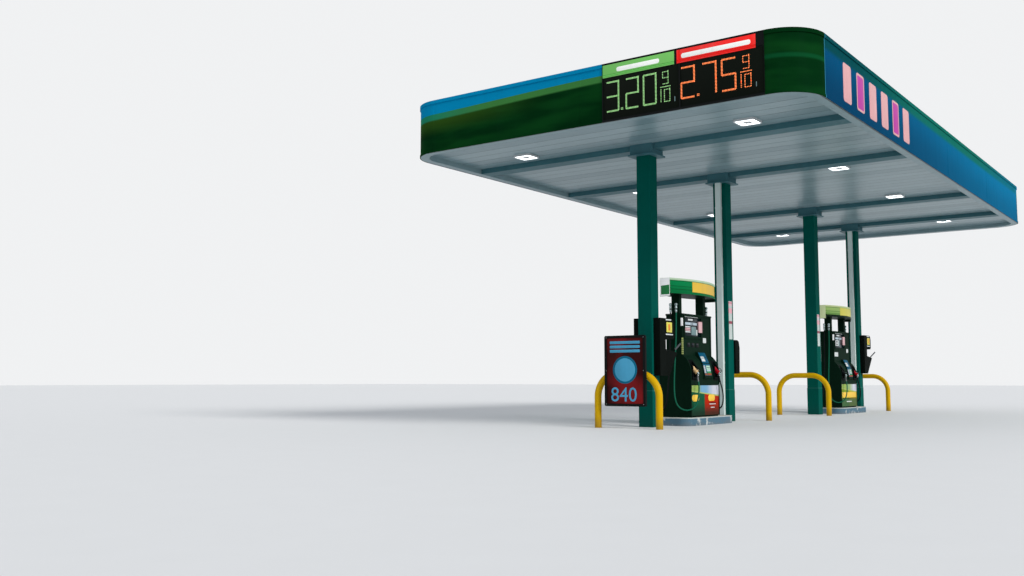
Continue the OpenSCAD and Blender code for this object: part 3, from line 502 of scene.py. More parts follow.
dust = (0.30, 0.27, 0.22)
finishes = {
    "column": plainFinish("columnPaint", columnColour, 0.55, shine=0.008, Dirt=(0.010, 0.055, 0.048),
                          Foot=0.35, Foot_Dirt=0.40, Streaks=0.20),
    "gutter": plainFinish("gutterSheet", gutterColour, 0.36, shine=0.2, Dirt=(0.14, 0.16, 0.16),
                          Streaks=0.16),
    # the beam covers are white sheet and this dark blue-grey on them is painted shade; the column collars use
    # the same finish
    "cover": plainFinish("beamCoverSheet", (0.048, 0.135, 0.160), 0.40, shine=0.06, Dirt=(0.04, 0.08, 0.09),
                         Streaks=0.16),
    "steel": chippedFinish("frameSteel", (0.26, 0.25, 0.24), (0.20, 0.085, 0.035), 0.62, 3.0, 0.62,
                           Streaks=0.25, Dirt=(0.16, 0.14, 0.12), relief=0.3),
    "fascia": plainFinish("fasciaPrint", fasciaColour, 0.55, shine=0.003, Dirt=(0.008, 0.03, 0.02),
                          Mottle=0.12, Streaks=0.08, Specks=0.03),
    "signBlack": plainFinish("signCabinet", signColour, 0.50, shine=0.04, glow=0.45,
                             Dirt=(0.008, 0.008, 0.007), Streaks=0.04, Specks=0.03),
    "housing": plainFinish("lampHousing", (0.50, 0.53, 0.54), 0.40, shine=0.3, Dirt=dust),
    "pipe": plainFinish("rainPipe", (0.62, 0.72, 0.70), 0.40, shine=0.3, Dirt=(0.36, 0.40, 0.38),
                        Streaks=0.25, Foot_Dirt=0.4),
    "yellow": chippedFinish("guardPaint", (0.60, 0.355, 0.001), (0.10, 0.06, 0.03), 0.42, 7.0, 0.69,
                            Dirt=(0.22, 0.13, 0.02), Foot=0.22, Foot_Dirt=0.65, Streaks=0.16, shine=0.08),
    "concrete": plainFinish("islandConcrete", (0.50, 0.49, 0.43), 0.82, Dirt=(0.16, 0.15, 0.14), Mottle=0.55,
                            Specks=0.35, relief=0.5, depth=0.002),
    "kerb": plainFinish("kerbPaint", kerbColour, 0.6, shine=0.2, Dirt=(0.16, 0.15, 0.14), Foot=0.07,
                        Foot_Dirt=0.45),
    "cabinet": plainFinish("cabinetPaint", cabinetColour, 0.55, shine=0.022, Dirt=(0.008, 0.018, 0.012),
                           Foot=0.3, Foot_Dirt=0.35),
    "topper1": plainFinish("topperPrint1", topperColour(1), 0.42, shine=0.04, Dirt=(0.02, 0.09, 0.04)),
    "topper2": plainFinish("topperPrint2", topperColour(2), 0.42, shine=0.04, Dirt=(0.08, 0.14, 0.05)),
    # the glow on these pale plates and on the badge is painted light; they are not lamps
    "endWhite": plainFinish("endPlateWhite", (0.84, 0.84, 0.85), 0.45, shine=0.2, glow=0.30, Dirt=dust,
                            Mottle=0.1),
    "endCream": plainFinish("endPlateCream", (0.60, 0.68, 0.38), 0.45, shine=0.2, glow=0.22,
                            Dirt=(0.2, 0.22, 0.1)),
    "unit": plainFinish("unitPlastic", (0.004, 0.006, 0.005), 0.65, shine=0.02, Dirt=(0.010, 0.012, 0.010),
                        relief=0.35),
    "notice": plainFinish("noticePrint", noticeColour, 0.42, shine=0.3, Dirt=dust, Streaks=0.08),
    "black": plainFinish("blackPlastic", (0.004, 0.005, 0.006), 0.50, shine=0.08, Dirt=(0.015, 0.015, 0.014)),
    "glass": plainFinish("screenGlass", (0.003, 0.010, 0.014), 0.16, shine=0.12, Dirt=(0.010, 0.012, 0.013),
                         relief=0.02),
    "lcd": plainFinish("lcdWindow", (0.44, 0.54, 0.62), 0.30, shine=0.2, Dirt=(0.1, 0.1, 0.09), Mottle=0.1),
    "slate": plainFinish("slatePlate", (0.16, 0.25, 0.26), 0.35, shine=0.15, Dirt=(0.08, 0.09, 0.08)),
    "label": plainFinish("paleLabel", (0.60, 0.64, 0.64), 0.48, Dirt=dust),
    "pink": plainFinish("pinkLabel", (0.66, 0.40, 0.42), 0.48, Dirt=dust),
    "magenta": plainFinish("magentaLabel", (0.42, 0.045, 0.30), 0.48, shine=0.05, Dirt=dust),
    "rose": plainFinish("rosePanel", (0.62, 0.33, 0.34), 0.46, shine=0.1, Dirt=dust),
    "mint": plainFinish("mintLabel", (0.36, 0.56, 0.44), 0.46, shine=0.2, Dirt=dust),
    "amber": plainFinish("amberLabel", (0.84, 0.52, 0.03), 0.45, Dirt=dust),
    "lemon": plainFinish("lemonLabel", (0.66, 0.60, 0.09), 0.45, shine=0.2, Dirt=dust),
    "lime": plainFinish("limeLabel", (0.46, 0.54, 0.16), 0.45, Dirt=dust),
    "leaf": plainFinish("greenLabel", (0.03, 0.26, 0.08), 0.45, shine=0.1, Dirt=(0.05, 0.12, 0.06)),
    "teal": plainFinish("tealPanel", (0.002, 0.080, 0.15), 0.42, shine=0.04, Dirt=(0.01, 0.03, 0.04)),
    "orange": plainFinish("orangeLabel", (0.66, 0.20, 0.03), 0.45, shine=0.1, Dirt=(0.2, 0.08, 0.03)),
    "brown": plainFinish("brownLabel", (0.26, 0.07, 0.02), 0.45, shine=0.1, Dirt=(0.10, 0.05, 0.02)),
    "sky": plainFinish("skyPrint", (0.07, 0.34, 0.54), 0.40, shine=0.08, Dirt=(0.04, 0.12, 0.18),
                       Mottle=0.35),
    "skyDark": plainFinish("skyPrintDark", (0.004, 0.12, 0.21), 0.40, shine=0.06, Dirt=(0.02, 0.06, 0.10),
                           Mottle=0.35),
    "crimson": plainFinish("crimsonPrint", crimsonColour, 0.45, shine=0.06, Dirt=(0.02, 0.006, 0.006)),
    "steelBright": plainFinish("brightSteel", (0.62, 0.63, 0.64), 0.26, metallic=1.0, Dirt=(0.3, 0.28, 0.25)),
    "steelDull": plainFinish("dullSteel", (0.30, 0.38, 0.39), 0.42, metallic=0.85, Dirt=(0.10, 0.12, 0.12),
                             Mottle=0.4),
    "zinc": plainFinish("zincBolt", (0.48, 0.49, 0.50), 0.42, metallic=0.9, Dirt=(0.2, 0.12, 0.07)),
    "beige": plainFinish("beigeVinyl", (0.70, 0.46, 0.22), 0.42, Dirt=(0.2, 0.15, 0.1), Specks=0.2,
                         relief=0.3),
    "red": plainFinish("redVinyl", (0.36, 0.004, 0.012), 0.45, shine=0.08, Dirt=(0.10, 0.02, 0.02),
                       Specks=0.15),
    "hoseGreen": plainFinish("greenHose", (0.006, 0.115, 0.065), 0.48, shine=0.08, Dirt=(0.01, 0.05, 0.03),
                             relief=0.4),
    "hoseBlack": plainFinish("blackHose", (0.004, 0.006, 0.007), 0.48, shine=0.06, Dirt=(0.015, 0.015, 0.014),
                             relief=0.4),
    "water": plainFinish("washWater", (0.02, 0.07, 0.13), 0.05, Dirt=(0.04, 0.06, 0.08), coat=0.5),
    "lens": plainFinish("lampLens", (0.90, 0.97, 1.0), 0.15, glow=2.2, Mottle=0.05, Streaks=0.0, Specks=0.02),
    "chip": plainFinish("lampChip", (1.0, 1.0, 1.0), 0.3, glow=4.0, Mottle=0.0, Streaks=0.0, Specks=0.0),
    "hub": plainFinish("lampHub", (0.10, 0.11, 0.12), 0.35, Dirt=(0.2, 0.2, 0.2)),
    "headerGreen": plainFinish("headerGreen", (0.12, 0.36, 0.085), 0.40, glow=0.48, shine=0.06, Mottle=0.3),
    "headerRed": plainFinish("headerRed", (0.66, 0.012, 0.010), 0.30, glow=0.45, shine=0.2, Mottle=0.1),
    "headerWhite": plainFinish("headerWhite", (0.74, 0.76, 0.73), 0.3, glow=0.35, Mottle=0.06),
    "field": plainFinish("digitField", (0.003, 0.005, 0.003), 0.50, shine=0.04, Dirt=(0.006, 0.007, 0.005)),
    "ledGreen": plainFinish("ledGreen", (0.26, 0.52, 0.20), 0.3, glow=0.7, Mottle=0.1, Streaks=0.0,
                            Specks=0.0),
    "ledAmber": plainFinish("ledAmber", (0.85, 0.21, 0.06), 0.3, glow=0.9, Mottle=0.1, Streaks=0.0,
                            Specks=0.0),
    "door1": plainFinish("doorPrint1", doorColour(1), 0.42, shine=0.02, Dirt=(0.05, 0.05, 0.04)),
    "door2": plainFinish("doorPrint2", doorColour(2), 0.42, shine=0.02, Dirt=(0.08, 0.08, 0.04)),
}
print("finishes made", len(finishes))


# Meshes: primitives gather in one list and become one piece, shaded smooth up to this angle
smoothAngle = math.radians(32)


class Piece:
    def __init__(self, name, turn=None):
        self.name = name
        self.points, self.faces, self.marks, self.used = [], [], [], []
        self.turn = turn or Matrix.Identity(4)

    def take(self, mesh, finish):
        if finish not in self.used:
            self.used.append(finish)
        first = len(self.points)
        mesh.verts.index_update()
        self.points += [self.turn @ v.co for v in mesh.verts]
        flip = self.turn.determinant() < 0
        for face in mesh.faces:
            loop = [first + v.index for v in face.verts]
            self.faces.append(loop[::-1] if flip else loop)
            self.marks.append(self.used.index(finish))
        mesh.free()

    def block(self, low, high, finish, bevel=0.002):
        mesh = bmesh.new()
        bmesh.ops.create_cube(mesh, size=1.0)
        size = [b - a for a, b in zip(low, high)]
        for v in mesh.verts:
            v.co = Vector([a + (c + 0.5) * s for a, c, s in zip(low, v.co, size)])
        bmesh.ops.bevel(mesh, geom=mesh.edges[:], offset=min(bevel, min(size) * 0.45), segments=2,
                        profile=0.5, affect="EDGES")
        self.take(mesh, finish)

    def skin(self, mesh, loops):
        count = len(loops[0])
        for a, b in zip(loops, loops[1:]):
            for k in range(count):
                mesh.faces.new((a[k], a[(k + 1) % count], b[(k + 1) % count], b[k]))
        mesh.faces.new(loops[0][::-1])
        mesh.faces.new(loops[-1])

    # A turned shape: rings of (height, radius) about the line from start along axis
    def turned(self, start, axis, rings, finish, count=28, flat=1.0):
        mesh = bmesh.new()
        spin = Vector((0, 0, 1)).rotation_difference(Vector(axis)).to_matrix()
        loops = []
        for height, radius in rings:
            angles = [2 * math.pi * k / count for k in range(count)]
            loops.append([mesh.verts.new(Vector(start) + spin @ Vector(
                (radius * math.cos(a), radius * flat * math.sin(a), height))) for a in angles])
        self.skin(mesh, loops)
        self.take(mesh, finish)

    def rod(self, start, end, radius, finish, count=20, edge=0.0015):
        start, end = Vector(start), Vector(end)
        length = (end - start).length
        edge = min(edge, radius * 0.4, length * 0.2)
        rings = [(0, radius - edge), (edge, radius), (length - edge, radius), (length, radius - edge)]
        self.turned(start, (end - start).normalized(), rings, finish, count)

    # A round tube along points
    def tube(self, points, radius, finish, count=14):
        mesh = bmesh.new()
        points = [Vector(p) for p in points]
        loops, across = [], None
        for i, p in enumerate(points):
            heading = (points[min(i + 1, len(points) - 1)] - points[max(i - 1, 0)]).normalized()
            across = across or heading.orthogonal().normalized()
            across = (across - heading * across.dot(heading)).normalized()
            other = heading.cross(across)
            angles = [2 * math.pi * k / count for k in range(count)]
            loops.append([mesh.verts.new(p + radius * (math.cos(a) * across + math.sin(a) * other))
                          for a in angles])
        self.skin(mesh, loops)
        self.take(mesh, finish)

    # A flat outline of (across, up) points pushed out by its thickness
    def plate(self, outline, origin, across, up, thickness, finish, bevel=0.0012):
        mesh = bmesh.new()
        across, up, origin = Vector(across), Vector(up), Vector(origin)
        out = across.cross(up).normalized()
        base = [mesh.verts.new(origin + across * a + up * b) for a, b in outline]
        top = [mesh.verts.new(v.co + out * thickness) for v in base]
        count = len(base)
        mesh.faces.new(base[::-1])
        lid = mesh.faces.new(top)
        for k in range(count):
            mesh.faces.new((base[k], base[(k + 1) % count], top[(k + 1) % count], top[k]))
        if bevel:
            bmesh.ops.bevel(mesh, geom=list(lid.edges), offset=min(bevel, thickness * 0.6), segments=2,
                            profile=0.5, affect="EDGES")
        self.take(mesh, finish)

    # A thin shell on an upright cylinder: middle, radius, side to side angles, heights
    def bowed(self, middle, radius, angles, heights, thickness, finish, steps=24):
        mesh = bmesh.new()
        loops = []
        for k in range(steps + 1):
            a = angles[0] + (angles[1] - angles[0]) * k / steps
            ring = [(radius, heights[0]), (radius + thickness, heights[0]), (radius + thickness, heights[1]),
                    (radius, heights[1])]
            loops.append([mesh.verts.new((middle[0] + r * math.cos(a), middle[1] + r * math.sin(a), z))
                          for r, z in ring])
        self.skin(mesh, loops)
        bmesh.ops.recalc_face_normals(mesh, faces=mesh.faces[:])
        self.take(mesh, finish)

    # Plain numbers, set in the built-in type and made a mesh
    def number(self, text, size, origin, across, up, thickness, finish):
        data = bpy.data.curves.new(self.name + "_type", "FONT")
        data.body, data.size, data.extrude, data.resolution_u = text, size, thickness / 2, 3
        holder = bpy.data.objects.new(data.name, data)
        scene.collection.objects.link(holder)
        bpy.context.view_layer.update()
        flat = bpy.data.meshes.new_from_object(holder.evaluated_get(bpy.context.evaluated_depsgraph_get()))
        bpy.data.objects.remove(holder)
        mesh = bmesh.new()
        mesh.from_mesh(flat)
        bpy.data.meshes.remove(flat)
        bmesh.ops.remove_doubles(mesh, verts=mesh.verts[:], dist=1e-5)
        across, up = Vector(across), Vector(up)
        out = across.cross(up).normalized()
        for v in mesh.verts:
            v.co = Vector(origin) + across * v.co.x + up * v.co.y + out * (v.co.z + thickness / 2)
        bmesh.ops.recalc_face_normals(mesh, faces=mesh.faces[:])
        self.take(mesh, finish)

    def done(self, slot, replaces=()):
        data = bpy.data.meshes.new(self.name)
        data.from_pydata(self.points, [], self.faces)
        for finish in self.used:
            data.materials.append(finishes[finish])
        data.polygons.foreach_set("material_index", self.marks)
        data.polygons.foreach_set("use_smooth", [True] * len(self.faces))
        data.set_sharp_from_angle(angle=smoothAngle)
        data.update()
        piece = bpy.data.objects.new(self.name, data)
        scene.collection.objects.link(piece)
        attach(piece, "root")
        if replaces:
            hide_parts(*replaces)
        return piece


def roundedOutline(width, height, radius, steps=6, middle=(0, 0)):
    points = []
    for sideX, sideY, first in ((1, 1, 0), (-1, 1, 90), (-1, -1, 180), (1, -1, 270)):
        for k in range(steps + 1):
            a = math.radians(first + 90 * k / steps)
            points.append((middle[0] + sideX * (width / 2 - radius) + radius * math.cos(a),
                           middle[1] + sideY * (height / 2 - radius) + radius * math.sin(a)))
    return points


def spline(points, steps):
    out = []
    last = len(points) - 1
    for i in range(last):
        p0, p1, p2, p3 = (Vector(points[max(0, min(last, i + k))]) for k in (-1, 0, 1, 2))
        for s in range(steps):
            t = s / steps
            out.append(0.5 * (2 * p1 + (p2 - p0) * t + (2 * p0 - 5 * p1 + 4 * p2 - p3) * t * t
                              + (3 * p1 - p0 - 3 * p2 + p3) * t ** 3))
    return out + [Vector(points[-1])]


# One face of a dispenser: x out of the cabinet, y along it, z up
def faceTurn(number, side):
    return Matrix.Translation((0, islandY[number - 1], 0)) @ Matrix.Rotation(math.pi * side, 4, "Z")


# Hoses, each from its swivel down in one loop and up to its nozzle
hoseValues = {
    "diameter": 0.025,
    "route": [(0.056, -0.610, 2.010), (0.056, -0.610, 1.920), (0.056, -0.618, 1.700), (0.054, -0.640, 1.400),
              (0.052, -0.668, 1.150), (0.053, -0.698, 0.920), (0.057, -0.722, 0.720), (0.065, -0.734, 0.570),
              (0.080, -0.734, 0.450), (0.110, -0.718, 0.354), (0.168, -0.682, 0.286), (0.248, -0.630, 0.260),
              (0.326, -0.578, 0.286), (0.382, -0.540, 0.354), (0.406, -0.518, 0.450), (0.413, -0.492, 0.560),
              (0.404, -0.462, 0.670), (0.384, -0.444, 0.760), (0.372, -0.440, 0.815), (0.372, -0.440, 0.860)],
    "steps": 2, "outlet": (0.056, -0.610, 2.010), "roundSteps": 5}
quarters = {"a": (1, -1), "b": (1, 1), "c": (-1, -1), "d": (-1, 1)}


def quarterTurn(number, letter):
    side, end = quarters[letter]
    return Matrix.Translation((0, islandY[number - 1], 0)) @ Matrix.Diagonal((side, -end, 1, 1))


def nozzleFinish(number, letter):
    if letter in "bc":
        return "red", "hoseBlack"
    return ("beige" if number == 1 else "hoseBlack"), "hoseGreen"


# Swivels at the nozzles' feet: rings are (height, radius) over each part's start
swivelValues = {"nut": [(0, 0.017), (0.002, 0.019), (0.018, 0.019), (0.021, 0.0165)],
                "neckStart": 0.020, "neck": [(0, 0.0145), (0.004, 0.0165), (0.008, 0.0145), (0.012, 0.0165),
                                             (0.016, 0.0145), (0.034, 0.0150)],
                "sleeve": [(0.012, -0.004, -0.100), (0, 0, -0.045), (0, 0, 0.001)], "sleeveRadius": 0.0145}


def makeSwivel(number, letter):
    v = swivelValues
    turn = quarterTurn(number, letter) @ Matrix.Translation(nozzleValues["foot"])
    piece = Piece(f"swivel_{number}_{letter}", turn)
    piece.turned((0, 0, 0), upZ, v["nut"], "steelBright", 6)
    piece.turned((0, 0, v["neckStart"]), upZ, v["neck"], "steelBright", 24)
    sleeve = "hub" if letter in "ad" else "black"
    piece.tube(spline(v["sleeve"], 6), v["sleeveRadius"], sleeve, 18)
    return piece.done("nozzle_plastic")


# Breakaways: a coupling of three beads that ends over the elbow of the outlet
breakawayValues = {
    "body": [(-0.032, 0.0132), (-0.030, 0.0155), (-0.014, 0.0155), (-0.010, 0.0195), (0.018, 0.0195),
             (0.023, 0.0165), (0.034, 0.0165), (0.039, 0.0205), (0.066, 0.0205), (0.072, 0.0172),
             (0.086, 0.0172), (0.090, 0.0205), (0.098, 0.0235), (0.110, 0.0248), (0.122, 0.0235),
             (0.130, 0.0190), (0.135, 0.0100)],
    "nutStart": 0.046, "nut": [(0, 0.0205), (0.002, 0.0222), (0.012, 0.0222), (0.014, 0.0205)]}


def makeBreakaway(number, letter):
    v = breakawayValues
    turn = quarterTurn(number, letter) @ Matrix.Translation(hoseValues["outlet"])
    piece = Piece(f"breakaway_{number}_{letter}", turn)
    piece.turned((0, 0, 0), upZ, v["body"], "steelDull", 28)
    piece.turned((0, 0, v["nutStart"]), upZ, v["nut"], "zinc", 6)
    return piece.done("nozzle_plastic")


# Nozzles: each turned part has its start and its rings of (height, radius) over it
nozzleValues = {
    "foot": (0.372, -0.440, 0.860), "rise": 0.050, "lean": 50.0, "flat": 0.9,
    "neck": (-0.030, [(0, 0.010), (0.004, 0.018), (0.016, 0.022), (0.034, 0.024), (0.040, 0.020)]),
    "grip": (0.006, [(0, 0.022), (0.006, 0.033), (0.020, 0.038), (0.042, 0.036), (0.068, 0.036),
                     (0.082, 0.038)]),
    "cuff": (0.084, [(0, 0.034), (0.008, 0.038), (0.016, 0.036), (0.024, 0.041), (0.030, 0.039),
                     (0.044, 0.046), (0.047, 0.046), (0.046, 0.036)]),
    "spout": (0.130, [(0, 0.022), (0.010, 0.0215), (0.014, 0.0125), (0.086, 0.0125), (0.0875, 0.0115)]),
    "guard": [(0.020, 0, -0.006), (0.046, 0, -0.016), (0.070, 0, -0.006), (0.077, 0, 0.022),
              (0.075, 0, 0.052), (0.060, 0, 0.074), (0.036, 0, 0.082), (0.020, 0, 0.078)],
    "lever": [(0.022, 0, 0.070), (0.034, 0, 0.060), (0.044, 0, 0.040), (0.052, 0, 0.018), (0.058, 0, 0.004)],
    "guardRadius": 0.0058, "leverRadius": 0.0048,
    "latch": ((-0.010, -0.018, 0.030), (0.033, 0.018, 0.052)), "latchBevel": 0.004}


def makeNozzle(number, letter):
    v = nozzleValues
    grip = nozzleFinish(number, letter)[0]
    turn = quarterTurn(number, letter) @ Matrix.Translation(v["foot"])
    leaning = turn @ Matrix.Translation((0, 0, v["rise"])) @ Matrix.Rotation(math.radians(-v["lean"]), 4, "Y")
    piece = Piece(f"nozzle_{number}_{letter}", leaning)
    for part, finish, count, flat in (("neck", "steelDull", 32, v["flat"]), ("grip", grip, 32, v["flat"]),
                                      ("cuff", grip, 36, 1.0), ("spout", "steelBright", 24, 1.0)):
        start, rings = v[part]
        piece.turned((0, 0, start), upZ, rings, finish, count, flat)
    piece.tube(spline(v["guard"], 5), v["guardRadius"], "black", 12)
    piece.tube(spline(v["lever"], 5), v["leverRadius"], "steelBright", 10)
    piece.block(*v["latch"], "black", v["latchBevel"])
    piece.done("nozzle_plastic", [f"dispenser_nozzles_{number}"])


def makeHose(number, letter):
    v = hoseValues
    turn = quarterTurn(number, letter)
    points = [turn @ p for p in spline(v["route"], v["steps"])]
    curve = bpy.data.curves.new(f"hose_{number}_{letter}_rubber", "CURVE")
    curve.dimensions = "3D"
    curve.bevel_depth = v["diameter"] / 2
    curve.bevel_resolution = v["roundSteps"]
    curve.use_fill_caps = True
    line = curve.splines.new("POLY")
    line.points.add(len(points) - 1)
    for target, p in zip(line.points, points):
        target.co = (*p, 1.0)
    line.use_smooth = True
    curve.materials.append(finishes[nozzleFinish(number, letter)[1]])
    hose = bpy.data.objects.new(curve.name, curve)
    scene.collection.objects.link(hose)
    length = sum((b - a).length for a, b in zip(points, points[1:]))
    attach(hose, "root")
    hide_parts(f"hose_{number}_{letter}")
    makeSwivel(number, letter)
    makeBreakaway(number, letter)
    makeNozzle(number, letter)
    return length


hoseLengths = [makeHose(number, letter) for number in (1, 2) for letter in quarters]
print("hoses", round(hoseLengths[0], 3), "m each")

# Finishes on the solids that stay
carried = {
    "column": ["column_1", "column_2", "column_3", "column_4"],
    "gutter": ["gutters", "gutter_corners"],
    "cover": ["column_collars", "beam_covers"],
    "steel": ["main_beam_1", "main_beam_2", "main_beam_3", "main_beam_4", "purlins_left", "purlins_right",
              "edge_channels", "fascia_frames"],
    "fascia": ["fascia_front", "fascia_back", "fascia_left", "fascia_right", "fascia_corners"],
    "signBlack": ["price_sign", "poster_frame"],
    "housing": ["ceiling_lights"],
    "pipe": ["downspouts"],
    "yellow": ["hoop_guards_1", "hoop_guards_2"],
    "concrete": ["island_slab_1", "island_slab_2"],
    "kerb": ["island_kerb_1", "island_kerb_2"],
    "cabinet": ["dispenser_cabinet_1", "dispenser_cabinet_2"],
    "topper1": ["dispenser_topper_1"],
    "topper2": ["dispenser_topper_2"],
    "unit": ["service_units"],
    "notice": ["column_notices"],
}


def dressNode(node, material):
    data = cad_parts[node].data
    data.materials.clear()
    data.materials.append(material)


for finish, nodes in carried.items():
    for node in nodes:
        dressNode(node, finishes[finish])
for bay in range(1, 6):
    low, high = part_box(f"deck_bay_{bay}")
    span = high.y - low.y
    pitch = span / round(span / ceilingValues["pan"])
    dressNode(f"deck_bay_{bay}", ceilingFinish(f"ceilingPans{bay}", low.y, pitch))
print("solids dressed")


# Rows of small studs along lines: sign lamps, rivets and bolts
def studTree():
    tree = bpy.data.node_groups.new("studRows", "GeometryNodeTree")
    face = tree.interface
    face.new_socket(name="Geometry", in_out="INPUT", socket_type="NodeSocketGeometry")
    for label, kind, value in (("Pitch", "Float", 0.02), ("Radius", "Float", 0.006), ("Crown", "Float", 0.6),
                               ("Height", "Float", 0.004), ("Corners", "Int", 8),
                               ("Turn", "Vector", (0, 0, 0))):
        face.new_socket(name=label, in_out="INPUT", socket_type="NodeSocket" + kind).default_value = value
    face.new_socket(name="Finish", in_out="INPUT", socket_type="NodeSocketMaterial")
    face.new_socket(name="Geometry", in_out="OUTPUT", socket_type="NodeSocketGeometry")
    given, out = tree.nodes.new("NodeGroupInput").outputs, tree.nodes.new("NodeGroupOutput").inputs
    kinds = {"line": "MeshToCurve", "spots": "ResampleCurve", "stud": "MeshCone", "place": "InstanceOnPoints",
             "real": "RealizeInstances", "paint": "SetMaterial"}
    nodes = {key: tree.nodes.new("GeometryNode" + kind) for key, kind in kinds.items()}
    nodes["spots"].mode = "LENGTH"
    crown = tree.nodes.new("ShaderNodeMath")
    crown.operation = "MULTIPLY"
    for source, node, socket in (
            (given["Geometry"], "line", "Mesh"), (nodes["line"].outputs[0], "spots", "Curve"),
            (given["Pitch"], "spots", "Length"), (given["Corners"], "stud", "Vertices"),
            (given["Radius"], "stud", "Radius Bottom"), (crown.outputs[0], "stud", "Radius Top"),
            (given["Height"], "stud", "Depth"), (nodes["spots"].outputs[0], "place", "Points"),
            (nodes["stud"].outputs["Mesh"], "place", "Instance"), (given["Turn"], "place", "Rotation"),
            (nodes["place"].outputs[0], "real", "Geometry"), (nodes["real"].outputs[0], "paint", "Geometry"),
            (given["Finish"], "paint", "Material")):
        tree.links.new(source, nodes[node].inputs[socket])
    tree.links.new(given["Radius"], crown.inputs[0])
    tree.links.new(given["Crown"], crown.inputs[1])
    tree.links.new(nodes["paint"].outputs[0], out[0])
    return tree


studRows = studTree()
sockets = {s.name: s.identifier for s in studRows.interface.items_tree if s.in_out == "INPUT"}


def makeStuds(name, lines, slot, finish, **values):
    data = bpy.data.meshes.new(name + "_lines")
    data.from_pydata([p for line in lines for p in line], [(2 * i, 2 * i + 1) for i in range(len(lines))], [])
    holder = bpy.data.objects.new(name + "_source", data)
    scene.collection.objects.link(holder)
    modifier = holder.modifiers.new("nodes", "NODES")
    modifier.node_group = studRows
    modifier[sockets["Finish"]] = finishes[finish]
    for label, value in values.items():
        modifier[sockets[label]] = value
    bpy.context.view_layer.update()
    done = bpy.data.meshes.new_from_object(holder.evaluated_get(bpy.context.evaluated_depsgraph_get()))
    bpy.data.objects.remove(holder)
    done.name = name
    piece = bpy.data.objects.new(name, done)
    scene.collection.objects.link(piece)
    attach(piece, "root")


quarter = math.pi / 2

# The sign's fields, and its digits of small round lamps
segments = {"a": ((0, 1), (1, 1)), "b": ((1, 1), (1, 0.5)), "c": ((1, 0), (1, 0.5)), "d": ((0, 0), (1, 0)),
            "e": ((0, 0), (0, 0.5)), "f": ((0, 0.5), (0, 1)), "g": ((0, 0.5), (1, 0.5))}
digits = {"0": "abcdef", "1": "bc", "2": "abged", "3": "abgcd", "4": "fgbc", "5": "afgcd", "6": "afgedc",
          "7": "abc", "8": "abcdefg", "9": "abfgcd"}


# Each segment of a digit is one or two lamp rows that stop short of its ends
def digitLines(mark, x, z, size, y, rows=0.0):
    lines = []
    width, height = size
    trimShare, trimLeast = signValues["trim"]
    for name in digits[mark]:
        (ax, az), (bx, bz) = segments[name]
        flat = az == bz
        trim = max(trimShare * rows, trimLeast)
        for shift in ((-rows / 2, rows / 2) if rows else (0.0,)):
            along, over = (trim, shift) if flat else (shift, trim)
            start = (x + ax * width + along, y, z + az * height + over)
            end = (x + bx * width + (-trim if flat else shift), y,
                   z + bz * height + (shift if flat else -trim))
            lines.append((start, end))
    return lines


def makeSignFace(index, header):
    v = signValues
    front, foot, (headLow, headHigh), (ribLow, ribHigh) = v["face"], v["foot"], v["header"], v["ribs"]
    x, (low, high) = v["left"][index], v["recesses"][index]
    face = Piece(f"sign_face_{index + 1}")
    back, out = v["fieldDepth"]
    face.block((low, front + back, v["fieldFoot"]), (high, front + out, headLow - v["fieldGap"]), "field")
    back, out = v["headerDepth"]
    for start, end in v["recesses"]:
        start, end = max(start, x), min(end, x + v["width"])
        if end - start > v["least"]:
            for z0, z1 in ((ribHigh, headHigh), (headLow, ribLow)):
                face.block((start, front + back, z0), (end, front + out, z1), header)
    middle = (x + v["width"] / 2, v["stripeMiddle"])
    back, thick, bevel = v["stripeDepth"]
    stripe = roundedOutline(v["stripes"][index], *v["stripe"], middle=middle)
    face.plate(stripe, (0, front + back, 0), alongX, upZ, thick, "headerWhite", bevel)
    half, low, high = v["tag"]
    back, out, bevel = v["tagDepth"]
    tag = x + v["width"] - v["tagInset"][index]
    face.block((tag - half, front + back, foot + low), (tag + half, front + out, foot + high), "slate", bevel)
    face.done("sign_black")


def makeSignLamps(index, price, led):
    v = signValues
    x, y, foot = v["left"][index], v["face"] + v["lampOut"], v["foot"]
    lines = []
    for mark, start in zip(price, v["starts"]):
        lines += digitLines(mark, x + start, foot, v["digit"], y, v["rows"])
    start, end = v["dot"]
    lines += [((x + start, y, foot + rise), (x + end, y, foot + rise)) for rise in v["dotRises"]]
    for mark, start, z in v["tenths"]:
        lines += digitLines(mark, x + start, z, v["small"], y)
    start, end, z = v["bar"]
    lines.append(((x + start, y, z), (x + end, y, z)))
    makeStuds(f"sign_lamps_{index + 1}", lines, "sign_black", led, Pitch=v["pitch"], Radius=v["lamp"],
              Height=v["lampHigh"], Turn=(quarter, 0, 0))


for index, (price, led, header) in enumerate(signValues["prices"]):
    makeSignFace(index, header)
    makeSignLamps(index, price, led)
print("price sign made")

# Ceiling lights: a lit ring of lamps round a dark hub, and a screwed rim. A plate's values are its width,
# corner, steps of a corner, rise over the lights' face, thickness, finish and bevel
lightValues = {
    "x": 2.110, "y": (-6.089, -1.831, 1.831, 6.089), "face": 4.766,
    "plates": ((0.310, 0.034, 8, 0.011, 0.006, "lens", 0.004), (0.128, 0.026, 6, 0.006, 0.005, "hub", 0.003),
               (0.07, 0.015, 6, 0.0015, 0.004, "housing", 0.002)),
    "rows": 3, "hubRows": 1, "pitch": 0.042, "lampRise": 0.006,
    "lamp": [(0, 0.009), (0.002, 0.008), (0.0035, 0.004)],
    "screws": (-0.158, 0.158), "screwRise": 0.001, "screw": [(0, 0.0065), (0.002, 0.006), (0.003, 0.003)]}


